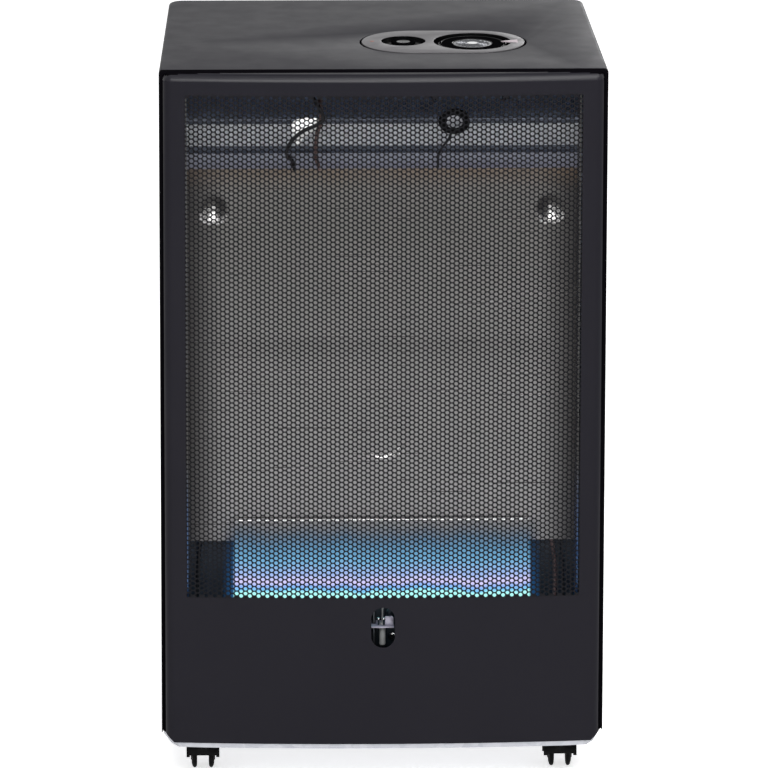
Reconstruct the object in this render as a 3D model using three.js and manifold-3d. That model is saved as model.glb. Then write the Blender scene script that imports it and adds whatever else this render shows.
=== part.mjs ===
// Portable gas cabinet heater with a blue-flame burner behind a perforated front.
// Millimetres, +Z up. The front faces -Y. The origin is on the floor, under the
// middle of the heater's box. Inside this file y is counted from the front plane,
// which is the outer face of the front panel at its two side edges.
import * as THREE from 'three';
import { mergeVertices } from 'three/addons/utils/BufferGeometryUtils.js';
import Module from 'manifold-3d';

// ---------------------------------------------------------------- driving sizes
// Case
const caseWidth = 440; // across the side panels at the front
const sideDraw = 10; // how far each side draws in towards the back
const caseHeight = 725; // floor to the flat top
const caseDepth = 338; // front plane to the back edge of the case
const sheet = 0.8; // steel sheet of the case
const fit = 0.3; // gap between pieces that touch
const lidSkirt = 22; // height of the turned-down edge of the top panel
const lidEdgeRadius = 5;
const lidCornerRadius = 14; // back corners of the top panel, seen from above
const returnWidth = 16; // inward edge of a side panel, front and back

// Front panel
const panelInset = 3.5; // from a side panel's outer face to the front panel's side edge
const panelBottom = 42; // above the floor
const panelDrop = 1; // the front panel's top edge lies this much under the case top
const panelReturn = 14; // depth of the panel's side edges
const frontBow = 10; // how far the middle stands in front of the edges
const bowSteps = 12;
const rollRadius = 9; // rounded top edge
const seamGap = 0.8; // between the front panel's top edge and the top panel
const lowerCornerRadius = 13;

// Guard
const guardSide = 18.5; // plain strip beside the window
const guardBottom = 193.5;
const guardDrop = 20; // from the case top to the window
const guardSheet = 1;
const guardHole = 40; // across the corners of one opening
const guardPitch = 48; // between the columns
const guardRowPitch = 52;
const guardMargin = 16; // solid rim

// Sight slot for the pilot flame
const slotWidth = 23.5;
const slotBottom = 142;
const slotTop = 183.5;

// Floor tray
const trayUnderside = 37;
const trayWallHeight = 25;
const sideBottom = 48; // lower edge of the side panels

// Cylinder bay and firebox
const partitionFront = 78; // front face of the sheet between firebox and bay
const cheekStep = 27; // from a side panel to a cheek's inner face
const cheekSheet = 1;
const reflectorFront = 68;
const reflectorBottom = 231;
const reflectorLap = 17; // height that it shares with the deflector's foot
const deflectorDrop = 53; // from the case top to the deflector's upper front edge
const deflectorRise = 38; // height of its slope
const deflectorFlat = 21; // height of its upright foot
const deflectorLipHeight = 5;
const deflectorReach = 24; // y of the upper front edge
const routeMiddle = 210; // a lead's lowest free point behind the reflector, under its top
const clipLeft = -94; // bright plate on the deflector's lip
const clipRight = -61;
const dimpleRadius = 17; // pressed back, as the crest is
const dimpleDepth = 5;
const dimpleInset = 26; // from a cheek to a dimple's middle
const dimpleDrop = 54; // under the reflector's top
const crestRadius = 30; // round pressing low on the reflector
const crestHeight = 345;
const crestDepth = 3;
const beadHeight = 434;
const beadInset = 28; // from a cheek to the bead's end
const beadDepth = 2;

// Burner
const burnerInset = 46; // from a cheek to the burner's end
const burnerFront = 30;
const burnerDepth = 30;
const burnerTop = 172;
const burnerWall = 1.5;
const shelfHeight = 120; // underside of the shelf that carries the burner
const portMargin = 6; // from the burner's end to its first slot, at least
const portWidth = 10;
const portPitch = 15.6;
const portRows = 2;
const flamePlateTop = 255;
const flamePlateLip = 4;
const tubeRadius = 11; // mixing tube
const tubeLength = 24;
const tubeLift = 19; // axis of the mixing tube above the shelf
const jetLength = 11;
const jetOverlap = 5; // how far the jet reaches into the tube's mouth
const shelfFlange = 18;

// Pilot
const pilotPlateHeight = 157.5;
const pilotPlateWidth = 26;
const pilotTabLeft = 1.6; // upright tab on the plate
const pilotTabRight = 10;
const pilotTabHeight = 10;
const electrodeRadius = 3.1;
const electrodeDrop = 2.9; // of its foot under the probe's
const ceramicLength = 23.4;
const wireLength = 20; // of the electrode above its ceramic
const probeRadius = 2.4;
const probeLength = 44;
const pilotX = 8;
const probeX = -8.6;

// Controls in the top
const bezelX = 62;
const bezelY = 136.5;
const bezelLength = 166;
const bezelDepth = 105;
const bezelRise = 0.6; // above the top panel
const bezelWall = 1.6;
const knobOffset = 29; // from the bezel's middle
const knobY = 137;
const wellRadius = 38.5;
const wellDepth = 18.5;
const knobRadius = 35;
const knobHeight = 13;
const knobTopDrop = 0.8; // below the case top
const knobPress = 4; // travel when it is pushed in
const capRadius = 19;
const capHeight = 4.5;
const spindleRadius = 3.2;
const buttonOffset = 39.4; // from the bezel's middle
const buttonY = 140;
const buttonWellRadius = 22;
const buttonWellDepth = 7.5;
const buttonRadius = 12;
const buttonRise = 0.8;
const buttonPress = 4;
const plungerRadius = 4;
const igniterRadius = 9;
const igniterLength = 50;
const valveWidth = 46;
const valveDepth = 34;
const valveHeight = 36;
const valveDrop = 29; // from the case top to the valve
const outletLength = 8;
const bezelSeam = 0.6; // dark gap round the bezel
const bezelFlange = 7; // total overlap under the top panel
const bezelPlate = 2; // thickness of its flange
const bracketSheet = 1.5;
const bracketDrop = 28; // height of the bracket's front fold
const bracketReachLeft = 56; // from the bezel's middle to the bracket's ends
const bracketReachRight = 76;
const cutoutX = 70; // overheat cutout on the deflector
const cutoutFall = 14; // from the lip down the slope

// Back cover
const coverDepth = 57; // how far it stands behind the case
const coverStep = 7; // how much narrower than the case it is, on each side
const coverSlope = 63; // width of each slanted face
const coverBottom = 44;
const coverDrop = 35; // from the case top to the cover's top
const coverTopFall = 34; // drop of its sloping roof
const coverShoulder = 8; // straight side before it slopes in
const coverSheet = 0.8;
const hookSlotGap = 0.6; // round a hook in its slot
const hookLift = 106; // lower hooks above the cover's lower edge
const hookDrop = 100; // upper hooks under its top
const hookDepth = 6.8; // from the back of the case to a hook's tip
const hookNeck = 8;
const hookLeg = 12;
const coverLift = 16; // upward travel that frees the hooks
const ventCount = 6;
const ventLength = 120;
const ventHeight = 5;
const ventPitch = 14;
const ventLift = 46; // lower vents above the cover's lower edge
const ventDrop = 170; // upper vents under its top

// Casters
const casterInset = 41; // from a side panel to a front stem
const casterRearInset = 42;
const casterFrontY = 42;
const casterSetback = 50; // from the back of the case to a rear stem
const wheelRadius = 15;
const wheelWidth = 6.4;
const wheelSpacing = 18; // between the two wheels' middles
const wheelTrail = 10; // axle behind the stem
const hoodWidth = 33;
const hoodRadius = 18.6;
const hoodSweep = 17; // how far the hood's ends reach below the axle, in degrees
const hoodTop = 33.6;
const axleRadius = 2.2;
const stemRadius = 4;
const stemBottom = 26;
const stemTop = 55;
const wheelSides = 16;
const socketRadius = 7.5;

// Pipes and leads
const pipeRadius = 3;
const leadRadius = 1.3;
const pipeHole = 1.2; // clearance round a pipe or lead that passes a sheet
const screwRadius = 2;

// ---------------------------------------------------------------- derived places
const far = 1000; // longer than anything that is cut
const rearWidth = caseWidth - 2 * sideDraw;
const panelWidth = caseWidth - 2 * panelInset;
const guardWidth = panelWidth - 2 * guardSide;
const guardTop = caseHeight - guardDrop;
const fireboxHalfWidth = caseWidth / 2 - cheekStep;
const deflectorLip = caseHeight - deflectorDrop;
const deflectorBend = deflectorLip - deflectorRise; // where it turns forward
const deflectorFoot = deflectorBend - deflectorFlat;
const reflectorTop = deflectorFoot + reflectorLap;
const dimpleX = fireboxHalfWidth - dimpleInset;
const dimpleHeight = reflectorTop - dimpleDrop;
const beadHalf = fireboxHalfWidth - beadInset;
const burnerWidth = 2 * (fireboxHalfWidth - burnerInset);
const portCount = Math.floor((burnerWidth - 2 * portMargin) / portPitch);
const knobX = bezelX + knobOffset;
const buttonX = bezelX - buttonOffset;
const valveTop = caseHeight - valveDrop;
const coverHalfWidth = rearWidth / 2 - coverStep;
const coverFlatHalfWidth = coverHalfWidth - coverSlope;
const coverTop = caseHeight - coverDrop;
const hookHeights = [coverBottom + hookLift, coverTop - hookDrop];
const ventHeights = [coverBottom + ventLift, coverTop - ventDrop];
const casterX = caseWidth / 2 - casterInset;
const casterRearX = rearWidth / 2 - casterRearInset;
const casterRearY = caseDepth - casterSetback;
const sideFront = panelReturn + fit;
const lidFront = 13;
const lidBottom = caseHeight - lidSkirt;
const panelTop = caseHeight - panelDrop;
const trayFloor = trayUnderside + sheet;
const trayWallTop = trayUnderside + trayWallHeight;
const coverBack = caseDepth + coverDepth;
const shelfTop = shelfHeight + sheet;
const insideTop = caseHeight - lidEdgeRadius - fit; // sheets inside end under the rolled edge
const burnerBack = burnerFront + burnerDepth;
const deflectorBack = reflectorFront - fit;
const frontToMiddle = (coverBack - frontBow) / 2;
const axleHeight = wheelRadius * Math.cos(Math.PI / wheelSides); // a flat of the wheel is on the floor

// ---------------------------------------------------------------- finishes
function finish(color, roughness, metalness) {
  return new THREE.MeshStandardMaterial({ color, roughness, metalness });
}

const blackPaint = () => finish(0x26252a, 0.45, 0.2);
const galvanised = () => finish(0xc4c6c9, 0.45, 0.8);
const heatSteel = () => finish(0x9a978f, 0.4, 0.85);
const blackPlastic = () => finish(0x0d0d0f, 0.3, 0);
const brass = () => finish(0xb08d4a, 0.35, 0.9);
const chrome = () => finish(0xdadbdc, 0.15, 1);
const ceramic = () => finish(0xc9c8c2, 0.5, 0);
const castMetal = () => finish(0xb9b9b6, 0.4, 0.8);
const greyPlastic = () => finish(0x5e5c60, 0.5, 0.1);
const copper = () => finish(0x9b5e3c, 0.4, 0.9);
const rubber = () => finish(0x151516, 0.7, 0);

// ---------------------------------------------------------------- solid tools
const wasm = await Module();
wasm.setup();

// A closed geometry as a solid that can be joined and cut.
function solid(geometry) {
  const bare = geometry.clone();
  bare.deleteAttribute('normal');
  bare.deleteAttribute('uv');
  const merged = mergeVertices(bare, 1e-4);
  const corners = [];
  for (let i = 0; i < merged.index.count; i += 3) {
    const [a, b, c] = [0, 1, 2].map((k) => merged.index.getX(i + k));
    if (a !== b && b !== c && c !== a) corners.push(a, b, c);
  }
  return new wasm.Manifold(new wasm.Mesh({
    numProp: 3,
    vertProperties: new Float32Array(merged.attributes.position.array),
    triVerts: new Uint32Array(corners),
  }));
}

function geometryOf(body) {
  const mesh = body.getMesh();
  const geometry = new THREE.BufferGeometry();
  geometry.setAttribute('position', new THREE.BufferAttribute(new Float32Array(mesh.vertProperties), 3));
  geometry.setIndex(new THREE.BufferAttribute(new Uint32Array(mesh.triVerts), 1));
  const flat = geometry.toNonIndexed();
  flat.computeVertexNormals();
  return flat;
}

function join(...bodies) {
  return bodies.reduce((whole, body) => whole.add(body));
}

function cut(body, ...tools) {
  return tools.reduce((rest, tool) => rest.subtract(tool), body);
}

function block(x0, x1, y0, y1, z0, z1) {
  const geometry = new THREE.BoxGeometry(x1 - x0, y1 - y0, z1 - z0);
  return solid(geometry.translate((x0 + x1) / 2, (y0 + y1) / 2, (z0 + z1) / 2));
}

function outline(points) {
  return new THREE.Shape(points.map(([u, v]) => new THREE.Vector2(u, v)));
}

function extruded(shape, depth, options = {}) {
  return new THREE.ExtrudeGeometry(shape, { depth, bevelEnabled: false, curveSegments: 6, ...options });
}

// A shape in plan, raised from z0 to z1.
function raised(shape, z0, z1) {
  return solid(extruded(shape, z1 - z0).translate(0, 0, z0));
}

// A shape in (x, z), running from y0 to y1.
function through(shape, y0, y1) {
  const turn = new THREE.Matrix4().makeBasis(
    new THREE.Vector3(1, 0, 0), new THREE.Vector3(0, 0, 1), new THREE.Vector3(0, -1, 0));
  return solid(extruded(shape, y1 - y0).applyMatrix4(turn).translate(0, y1, 0));
}

const acrossBasis = new THREE.Matrix4().makeBasis(
  new THREE.Vector3(0, 1, 0), new THREE.Vector3(0, 0, 1), new THREE.Vector3(1, 0, 0));

// A shape in (y, z), running from x0 to x1.
function across(shape, x0, x1) {
  return solid(extruded(shape, x1 - x0).applyMatrix4(acrossBasis).translate(x0, 0, 0));
}

// A profile of [radius, height] points, turned round an axis that starts at a point.
function turned(profile, at, direction, sides) {
  const points = profile.map(([r, h]) => new THREE.Vector2(r, h));
  points.push(points[0].clone());
  const geometry = new THREE.LatheGeometry(points, sides);
  const up = new THREE.Vector3(0, 1, 0);
  geometry.applyQuaternion(new THREE.Quaternion().setFromUnitVectors(up, direction.clone().normalize()));
  return solid(geometry.translate(at.x, at.y, at.z));
}

const alongX = new THREE.Vector3(1, 0, 0);
const alongY = new THREE.Vector3(0, 1, 0);
const alongZ = new THREE.Vector3(0, 0, 1);

function place(x, y, z) {
  return new THREE.Vector3(x, y, z);
}

function rod(from, direction, length, radius, sides = 12) {
  return turned([[0, 0], [radius, 0], [radius, length], [0, length]], from, direction, sides);
}

// A round pipe along a smooth curve through the points.
function pipe(points, radius, sides, steps) {
  const curve = new THREE.CatmullRomCurve3(points, false, 'centripetal');
  const section = new THREE.Shape();
  for (let i = 0; i < sides; i += 1) {
    const angle = (2 * Math.PI * i) / sides;
    const move = i === 0 ? 'moveTo' : 'lineTo';
    section[move](radius * Math.cos(angle), radius * Math.sin(angle));
  }
  return solid(new THREE.ExtrudeGeometry(section, { steps, extrudePath: curve, bevelEnabled: false }));
}

function stadium(centreX, centreY, length, width) {
  const radius = width / 2;
  const reach = length / 2 - radius;
  const shape = new THREE.Shape();
  shape.moveTo(centreX - reach, centreY - radius);
  shape.absarc(centreX + reach, centreY, radius, -Math.PI / 2, Math.PI / 2);
  shape.absarc(centreX - reach, centreY, radius, Math.PI / 2, 1.5 * Math.PI);
  return shape;
}

// ---------------------------------------------------------------- the heater
const heater = new THREE.Group();
heater.position.y = -frontToMiddle;

function add(name, body, material) {
  const mesh = new THREE.Mesh(geometryOf(body), material);
  mesh.name = name;
  heater.add(mesh);
}

// Outer face of the right side panel at a depth y.
function sideOuter(y) {
  const share = (y - sideFront) / (caseDepth - sideFront);
  return (caseWidth - share * (caseWidth - rearWidth)) / 2;
}

function sideInner(y) {
  return sideOuter(y) - sheet;
}

// How far the front bows out at x.
function bow(x) {
  const share = x / (panelWidth / 2);
  return frontBow * Math.max(0, 1 - share * share);
}

function bend(geometry, weight = () => 1) {
  const position = geometry.attributes.position;
  for (let i = 0; i < position.count; i += 1) {
    const y = position.getY(i);
    position.setY(i, y - weight(y) * bow(position.getX(i)));
  }
  return geometry;
}

// Plan of the back cover, each face moved in by inset.
function coverPoints(inset) {
  const run = coverHalfWidth - coverFlatHalfWidth;
  const rise = coverDepth - coverShoulder;
  const length = Math.hypot(run, rise);
  const normal = { x: rise / length, y: run / length };
  const shoulderShift = (inset * (1 - normal.x)) / normal.y;
  const backShift = (inset * (1 - normal.y)) / normal.x;
  return [
    [coverHalfWidth - inset, caseDepth + coverShoulder - shoulderShift],
    [coverFlatHalfWidth - backShift, coverBack - inset],
  ];
}

function mirrored(rightHalf) {
  return [...rightHalf, ...rightHalf.map(([x, y]) => [-x, y]).reverse()];
}

// ---- floor tray: a flat pan with upstanding walls and four caster sockets
function trayShape(inset) {
  const gap = sheet + fit + inset;
  const corner = panelWidth / 2 - gap;
  const widest = sideFront + 2 * returnWidth;
  const front = [];
  for (let i = 0; i < bowSteps / 2; i += 1) {
    const x = (corner * (2 * i)) / bowSteps;
    front.push([x, gap - bow(x)]);
  }
  const right = [
    ...front.slice(1),
    [corner, gap],
    [corner, sideFront],
    [sideInner(widest) - fit - inset, widest],
    [sideInner(caseDepth - returnWidth) - fit - inset, caseDepth - returnWidth],
    [coverHalfWidth - coverSheet - fit - inset, caseDepth - sheet - fit - inset],
    ...coverPoints(coverSheet + fit + inset),
  ];
  return outline([front[0], ...mirrored(right)]);
}

const casterPlaces = [
  { name: 'front_left', x: -casterX, y: casterFrontY },
  { name: 'front_right', x: casterX, y: casterFrontY },
  { name: 'rear_left', x: -casterRearX, y: casterRearY },
  { name: 'rear_right', x: casterRearX, y: casterRearY },
];

function addTray() {
  let pan = cut(raised(trayShape(0), trayUnderside, trayWallTop), raised(trayShape(sheet), trayFloor, far));
  for (const { x, y } of casterPlaces) {
    const socketBottom = trayUnderside + sheet / 2;
    pan = join(pan, rod(place(x, y, socketBottom), alongZ, stemTop - socketBottom, socketRadius));
  }
  for (const { x, y } of casterPlaces) {
    pan = cut(pan, rod(place(x, y, 0), alongZ, far, stemRadius + fit));
  }
  add('base_tray', pan, galvanised());
}

// ---- case: two side panels that draw in towards the back
function addSidePanel(name, side) {
  const inner = caseDepth - sheet;
  const plan = [
    [sideOuter(sideFront), sideFront],
    [sideOuter(caseDepth), caseDepth],
    [sideOuter(caseDepth) - returnWidth, caseDepth],
    [sideOuter(caseDepth) - returnWidth, inner],
    [sideInner(inner), inner],
    [sideInner(sideFront + sheet), sideFront + sheet],
    [sideOuter(sideFront) - returnWidth, sideFront + sheet],
    [sideOuter(sideFront) - returnWidth, sideFront],
  ];
  const skirt = [plan[0], plan[1], [sideInner(caseDepth), caseDepth], [sideInner(sideFront), sideFront]];
  const onSide = (points) => outline(points.map(([x, y]) => [side * x, y]));
  let panel = join(
    raised(onSide(plan), trayWallTop + fit, lidBottom - fit),
    raised(onSide(skirt), sideBottom, trayWallTop + 2 * fit));
  const hookX = coverHalfWidth - coverSheet / 2;
  for (const z of hookHeights) {
    const half = coverSheet / 2 + hookSlotGap;
    const [low, high] = [side * (hookX - half), side * (hookX + half)].sort((a, b) => a - b);
    const top = z + hookNeck + coverLift + fit;
    panel = cut(panel, block(low, high, inner - 1, caseDepth + 1, z - fit, top));
  }
  add(name, panel, blackPaint());
}

// ---- top panel: a shallow lid with rolled edges and a long hole for the controls
function lidShape(inset) {
  const radius = lidCornerRadius - inset;
  const back = caseDepth - inset;
  const shape = new THREE.Shape();
  shape.moveTo(-(sideOuter(lidFront) - inset), lidFront + inset);
  shape.lineTo(sideOuter(lidFront) - inset, lidFront + inset);
  const rearX = sideOuter(caseDepth) - inset;
  shape.lineTo(sideOuter(caseDepth - lidCornerRadius) - inset, back - radius);
  shape.quadraticCurveTo(rearX, back, rearX - radius, back);
  shape.lineTo(-(rearX - radius), back);
  shape.quadraticCurveTo(-rearX, back, -(sideOuter(caseDepth - lidCornerRadius) - inset), back - radius);
  return shape;
}

function lidBlank(inset, radius, top) {
  const bevel = { bevelEnabled: true, bevelSize: radius, bevelThickness: radius, bevelSegments: 3 };
  const depth = lidSkirt;
  const geometry = extruded(lidShape(inset + radius), depth, { ...bevel, curveSegments: 3 });
  return solid(geometry.translate(0, 0, top - radius - depth));
}

function addLid() {
  const outer = cut(lidBlank(0, lidEdgeRadius, caseHeight), block(-far, far, -far, far, -far, lidBottom));
  const inner = join(
    lidBlank(sheet, lidEdgeRadius - sheet, caseHeight - sheet),
    raised(lidShape(sheet), lidBottom - 1, lidBottom + lidEdgeRadius));
  const hole = raised(stadium(bezelX, bezelY, bezelLength, bezelDepth), lidBottom, far);
  add('top_panel', cut(outer, inner, hole), blackPaint());
}

// ---- front panel: a bowed sheet with a rolled top edge, side edges and a window
// What a square lower corner loses when it is rounded, at the side edge x.
function cornerTool(x, side, radius) {
  const [low, high] = [x - side * radius, x + side].sort((a, b) => a - b);
  const square = block(low, high, -far, far, panelBottom - 1, panelBottom + radius);
  return cut(square, rod(place(x - side * radius, -far, panelBottom + radius), alongY, 2 * far, radius, 32));
}

function addFrontPanel() {
  const half = panelWidth / 2;
  const seam = lidFront - seamGap;
  const profile = new THREE.Shape();
  profile.moveTo(0, panelBottom);
  profile.lineTo(sheet, panelBottom);
  profile.lineTo(sheet, panelTop - rollRadius);
  profile.absarc(rollRadius, panelTop - rollRadius, rollRadius - sheet, Math.PI, Math.PI / 2, true);
  profile.lineTo(seam, panelTop - sheet);
  profile.lineTo(seam, panelTop);
  profile.lineTo(rollRadius, panelTop);
  profile.absarc(rollRadius, panelTop - rollRadius, rollRadius, Math.PI / 2, Math.PI, false);
  const skin = new THREE.ExtrudeGeometry(profile, {
    depth: panelWidth, steps: bowSteps, bevelEnabled: false, curveSegments: 3,
  });
  skin.applyMatrix4(acrossBasis).translate(-half, 0, 0);
  const face = solid(bend(skin, (y) => (y > rollRadius + fit ? 0 : 1)));
  const edge = outline([
    [0, panelBottom], [panelReturn, panelBottom], [panelReturn, lidBottom - fit], [seam, lidBottom - fit],
    [seam, panelTop - sheet], [rollRadius, panelTop - sheet], [rollRadius / 3, panelTop - rollRadius / 3],
    [0, panelTop - rollRadius],
  ]);
  const panel = join(face, across(edge, -half, -half + sheet), across(edge, half - sheet, half));
  const windowHalf = guardWidth / 2 + fit;
  const window = block(-windowHalf, windowHalf, -far, rollRadius, guardBottom - fit, guardTop + fit);
  const slotMiddle = (slotBottom + slotTop) / 2;
  const slotShape = stadium(0, 0, slotTop - slotBottom, slotWidth);
  const slot = through(turnedUpright(slotShape, slotMiddle), -far, far);
  const corners = [-1, 1].map((side) => cornerTool(side * half, side, lowerCornerRadius));
  add('front_panel', cut(panel, window, slot, ...corners), blackPaint());
}

// A lying stadium stood on end, its middle at height z.
function turnedUpright(shape, z) {
  return new THREE.Shape(shape.getPoints(6).map((p) => new THREE.Vector2(-p.y, p.x + z)));
}

// ---- guard: a bowed sheet with staggered six-sided openings, flush in the window
function addGuard() {
  const steps = bowSteps;
  const height = guardTop - guardBottom;
  const flat = new THREE.BoxGeometry(guardWidth, guardSheet, height, steps, 1, 1);
  flat.translate(0, guardSheet / 2, guardBottom + height / 2);
  let guard = solid(bend(flat));
  const columns = Math.floor((guardWidth - 2 * guardMargin - guardHole) / guardPitch) + 1;
  const rows = Math.floor((height - 2 * guardMargin - guardHole) / guardRowPitch) + 1;
  const tools = [];
  for (let column = 0; column < columns; column += 1) {
    const odd = column % 2;
    for (let row = 0; row < rows - odd; row += 1) {
      const x = (column - (columns - 1) / 2) * guardPitch;
      const z = guardBottom + height / 2 + (row - (rows - 1 - odd) / 2) * guardRowPitch;
      tools.push(rod(place(x, -2 * frontBow, z), alongY, 4 * frontBow, guardHole / 2, 6));
    }
  }
  guard = cut(guard, ...tools);
  add('guard_mesh', guard, blackPaint());
}

// A strip of sheet folded along a path, as a closed outline on the left of the path.
function folded(path, thickness) {
  const left = path.map(([u, v], i) => {
    const before = path[Math.max(0, i - 1)];
    const after = path[Math.min(path.length - 1, i + 1)];
    const into = i > 0 ? new THREE.Vector2(u - before[0], v - before[1]).normalize() : null;
    const out = i < path.length - 1 ? new THREE.Vector2(after[0] - u, after[1] - v).normalize() : null;
    const a = into ?? out;
    const b = out ?? into;
    const normal = new THREE.Vector2(-(a.y + b.y), a.x + b.x).normalize();
    const reach = thickness / (normal.x * -a.y + normal.y * a.x);
    return [u + normal.x * reach, v + normal.y * reach];
  });
  return outline([...path, ...left.reverse()]);
}

// ---- routes of the gas pipe and the two leads
const pipeStart = place(knobX - valveWidth / 2 - outletLength - fit, knobY, valveTop - valveHeight * 0.6);
const valveSide = knobX - valveWidth / 2;
const behind = (reflectorFront + cheekSheet + partitionFront) / 2;
const jetBack = -(burnerWidth / 2 + fit + tubeLength + jetLength - jetOverlap);
const burnerMiddle = burnerFront + burnerDepth / 2;
const tubeHeight = shelfTop + tubeLift;
const middleHeight = reflectorTop - routeMiddle;

const gasRoute = [
  pipeStart,
  place(pipeStart.x - 4, knobY, pipeStart.z),
  place(pipeStart.x - 9, knobY - 2, pipeStart.z + 0.5),
  place(36, knobY - 19, pipeStart.z + 4),
  place(2, knobY - 31, pipeStart.z + 10),
  place(-24, partitionFront + 18, deflectorLip + 19),
  place(-44, partitionFront - 22, deflectorLip + 22),
  place(-52, deflectorReach + 2, deflectorLip + 18),
  place(-58, deflectorReach - 12, deflectorLip + 7),
  place(-66, deflectorReach - 13.5, deflectorLip),
  place(-78, deflectorReach - 13, deflectorLip - 4),
  place(-88, deflectorReach - 11, deflectorLip - 12),
  place(-94, deflectorReach - 6, deflectorLip - 22),
  place(-96, deflectorReach + 4, deflectorLip - 31),
  place(-92, deflectorReach + 22, deflectorBend - 4),
  place(-88, reflectorFront - 4, deflectorBend - 15),
  place(-88, behind, deflectorFoot - 13),
  place(-150, behind, middleHeight),
  place(jetBack - 2, behind, reflectorBottom + 15),
  place(jetBack - 8, behind - 5, tubeHeight + 26),
  place(jetBack - 10, burnerMiddle + 7, tubeHeight + 3),
  place(jetBack - 6, burnerMiddle, tubeHeight),
  place(jetBack - fit, burnerMiddle, tubeHeight),
];

const probeBottom = slotBottom - 2;
const probeY = 20;
const electrodeY = 17;
const probeRoute = [
  place(valveSide - fit, knobY + 11, pipeStart.z - 6),
  place(valveSide - 3, knobY + 11, pipeStart.z - 6),
  place(pipeStart.x - 8, knobY + 9, pipeStart.z - 9),
  place(30, knobY - 13, pipeStart.z - 13),
  place(0, knobY - 29, pipeStart.z - 4),
  place(-18, partitionFront + 16, deflectorLip + 7),
  place(-31, partitionFront - 20, deflectorLip + 14),
  place(-40, deflectorReach + 2, deflectorLip + 11),
  place(-51, deflectorReach - 5, deflectorLip + 3),
  place(-58.5, deflectorReach - 5.5, deflectorLip - 6),
  place(-62.5, deflectorReach - 4, deflectorLip - 18),
  place(-63, deflectorReach + 6, deflectorLip - 31),
  place(-62, deflectorReach + 22, deflectorBend - 3),
  place(-61, reflectorFront - 4, deflectorBend - 14),
  place(-58, behind, deflectorFoot - 13),
  place(60, behind, middleHeight),
  place(burnerWidth / 2 + 20, behind, reflectorBottom + 13),
  place(burnerWidth / 2 + 24, burnerBack - 4, tubeHeight + 12),
  place(burnerWidth / 2 + 14, burnerFront - 7, shelfTop + 8),
  place(burnerWidth / 4, probeY + 2, shelfTop + 4),
  place(probeX + 14, probeY + 2, shelfTop + 4),
  place(probeX + 2, probeY, shelfTop + 8),
  place(probeX, probeY, probeBottom + 1),
];

const igniterBottom = caseHeight + bezelRise - buttonWellDepth - bezelWall - fit - igniterLength;
const sparkRoute = [
  place(buttonX, buttonY, igniterBottom + 1),
  place(buttonX, buttonY - 4, igniterBottom - 12),
  place(buttonX + 20, partitionFront + 14, igniterBottom - 14),
  place(buttonX + 36, partitionFront + 1, igniterBottom - 16),
  place(buttonX + 50, behind + 1.5, igniterBottom - 40),
  place(burnerWidth / 2 + 30, behind + 1.5, middleHeight),
  place(burnerWidth / 2 + 33, behind, reflectorBottom + 13),
  place(burnerWidth / 2 + 34, burnerBack - 4, tubeHeight + 12),
  place(burnerWidth / 2 + 22, burnerFront - 12, shelfTop + 10),
  place(burnerWidth / 4, electrodeY - 4, shelfTop + 7),
  place(12, electrodeY - 3, shelfTop + 7),
  place(1, electrodeY, shelfTop + 10),
  place(0, electrodeY, probeBottom - electrodeDrop - 1),
];

const passages = [
  pipe(gasRoute, pipeRadius + pipeHole, 8, 60),
  pipe(probeRoute, leadRadius + pipeHole, 8, 60),
  pipe(sparkRoute, leadRadius + pipeHole, 8, 60),
];

// ---- firebox: partition, reflector, cheeks, deflector and the burner's shelf
function dish(x, z, y, radius, depth) {
  const profile = [[0, -1], [radius, -1], [radius, 0], [radius * 0.72, depth * 0.62], [0, depth]];
  return turned(profile, place(x, y, z), alongY, 20);
}

function addFirebox() {
  const partitionHalf = sideInner(partitionFront) - sheet - 2 * fit;
  const partition = block(-partitionHalf, partitionHalf, partitionFront, partitionFront + sheet,
    trayFloor + fit, insideTop);
  add('rear_partition', cut(partition, ...passages, ...screwHoles()), galvanised());

  const half = fireboxHalfWidth - fit;
  const reflectorBack = reflectorFront + cheekSheet;
  let reflector = block(-half, half, reflectorFront, reflectorBack, reflectorBottom, reflectorTop);
  const pressings = [
    [-dimpleX, dimpleHeight, dimpleRadius, dimpleDepth],
    [dimpleX, dimpleHeight, dimpleRadius, dimpleDepth],
    [0, crestHeight, crestRadius, crestDepth],
  ];
  for (const [x, z, radius, depth] of pressings) {
    reflector = join(reflector, dish(x, z, reflectorBack, radius, depth - fit));
    reflector = cut(reflector, dish(x, z, reflectorFront, radius - cheekSheet, depth - fit));
  }
  const bead = outline([[reflectorFront + fit, beadHeight - 3], [reflectorFront + fit, beadHeight + 3],
    [reflectorFront - beadDepth, beadHeight]]);
  reflector = join(reflector, across(bead, -beadHalf, beadHalf));
  add('reflector_panel', cut(reflector, ...passages), heatSteel());

  const cheekFront = sideFront + sheet;
  for (const [name, side] of [['left_cheek', -1], ['right_cheek', 1]]) {
    const low = Math.min(side * fireboxHalfWidth, side * (fireboxHalfWidth + cheekSheet));
    const cheekBack = partitionFront - sheet - 2 * fit;
    const cheek = block(low, low + cheekSheet, cheekFront, cheekBack, shelfTop + fit, insideTop);
    add(name, cut(cheek, ...passages), heatSteel());
  }

  const path = [
    [deflectorBack, deflectorFoot],
    [deflectorBack, deflectorBend],
    [deflectorReach, deflectorLip],
    [deflectorReach, deflectorLip + deflectorLipHeight],
  ];
  add('top_deflector', cut(across(folded(path, cheekSheet), -half, half), ...passages), heatSteel());

  const shelfFront = sideFront + sheet + fit;
  const shelfBack = partitionFront - fit;
  const shelf = join(
    block(-partitionHalf, partitionHalf, shelfFront, shelfBack, shelfHeight, shelfTop),
    block(-partitionHalf, partitionHalf, shelfBack - sheet, shelfBack, shelfHeight, shelfTop + shelfFlange),
    block(-partitionHalf, partitionHalf, shelfFront, shelfFront + sheet,
      shelfHeight - shelfFlange, shelfTop));
  add('burner_shelf', cut(shelf, ...passages, ...screwHoles()), galvanised());
}

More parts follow.
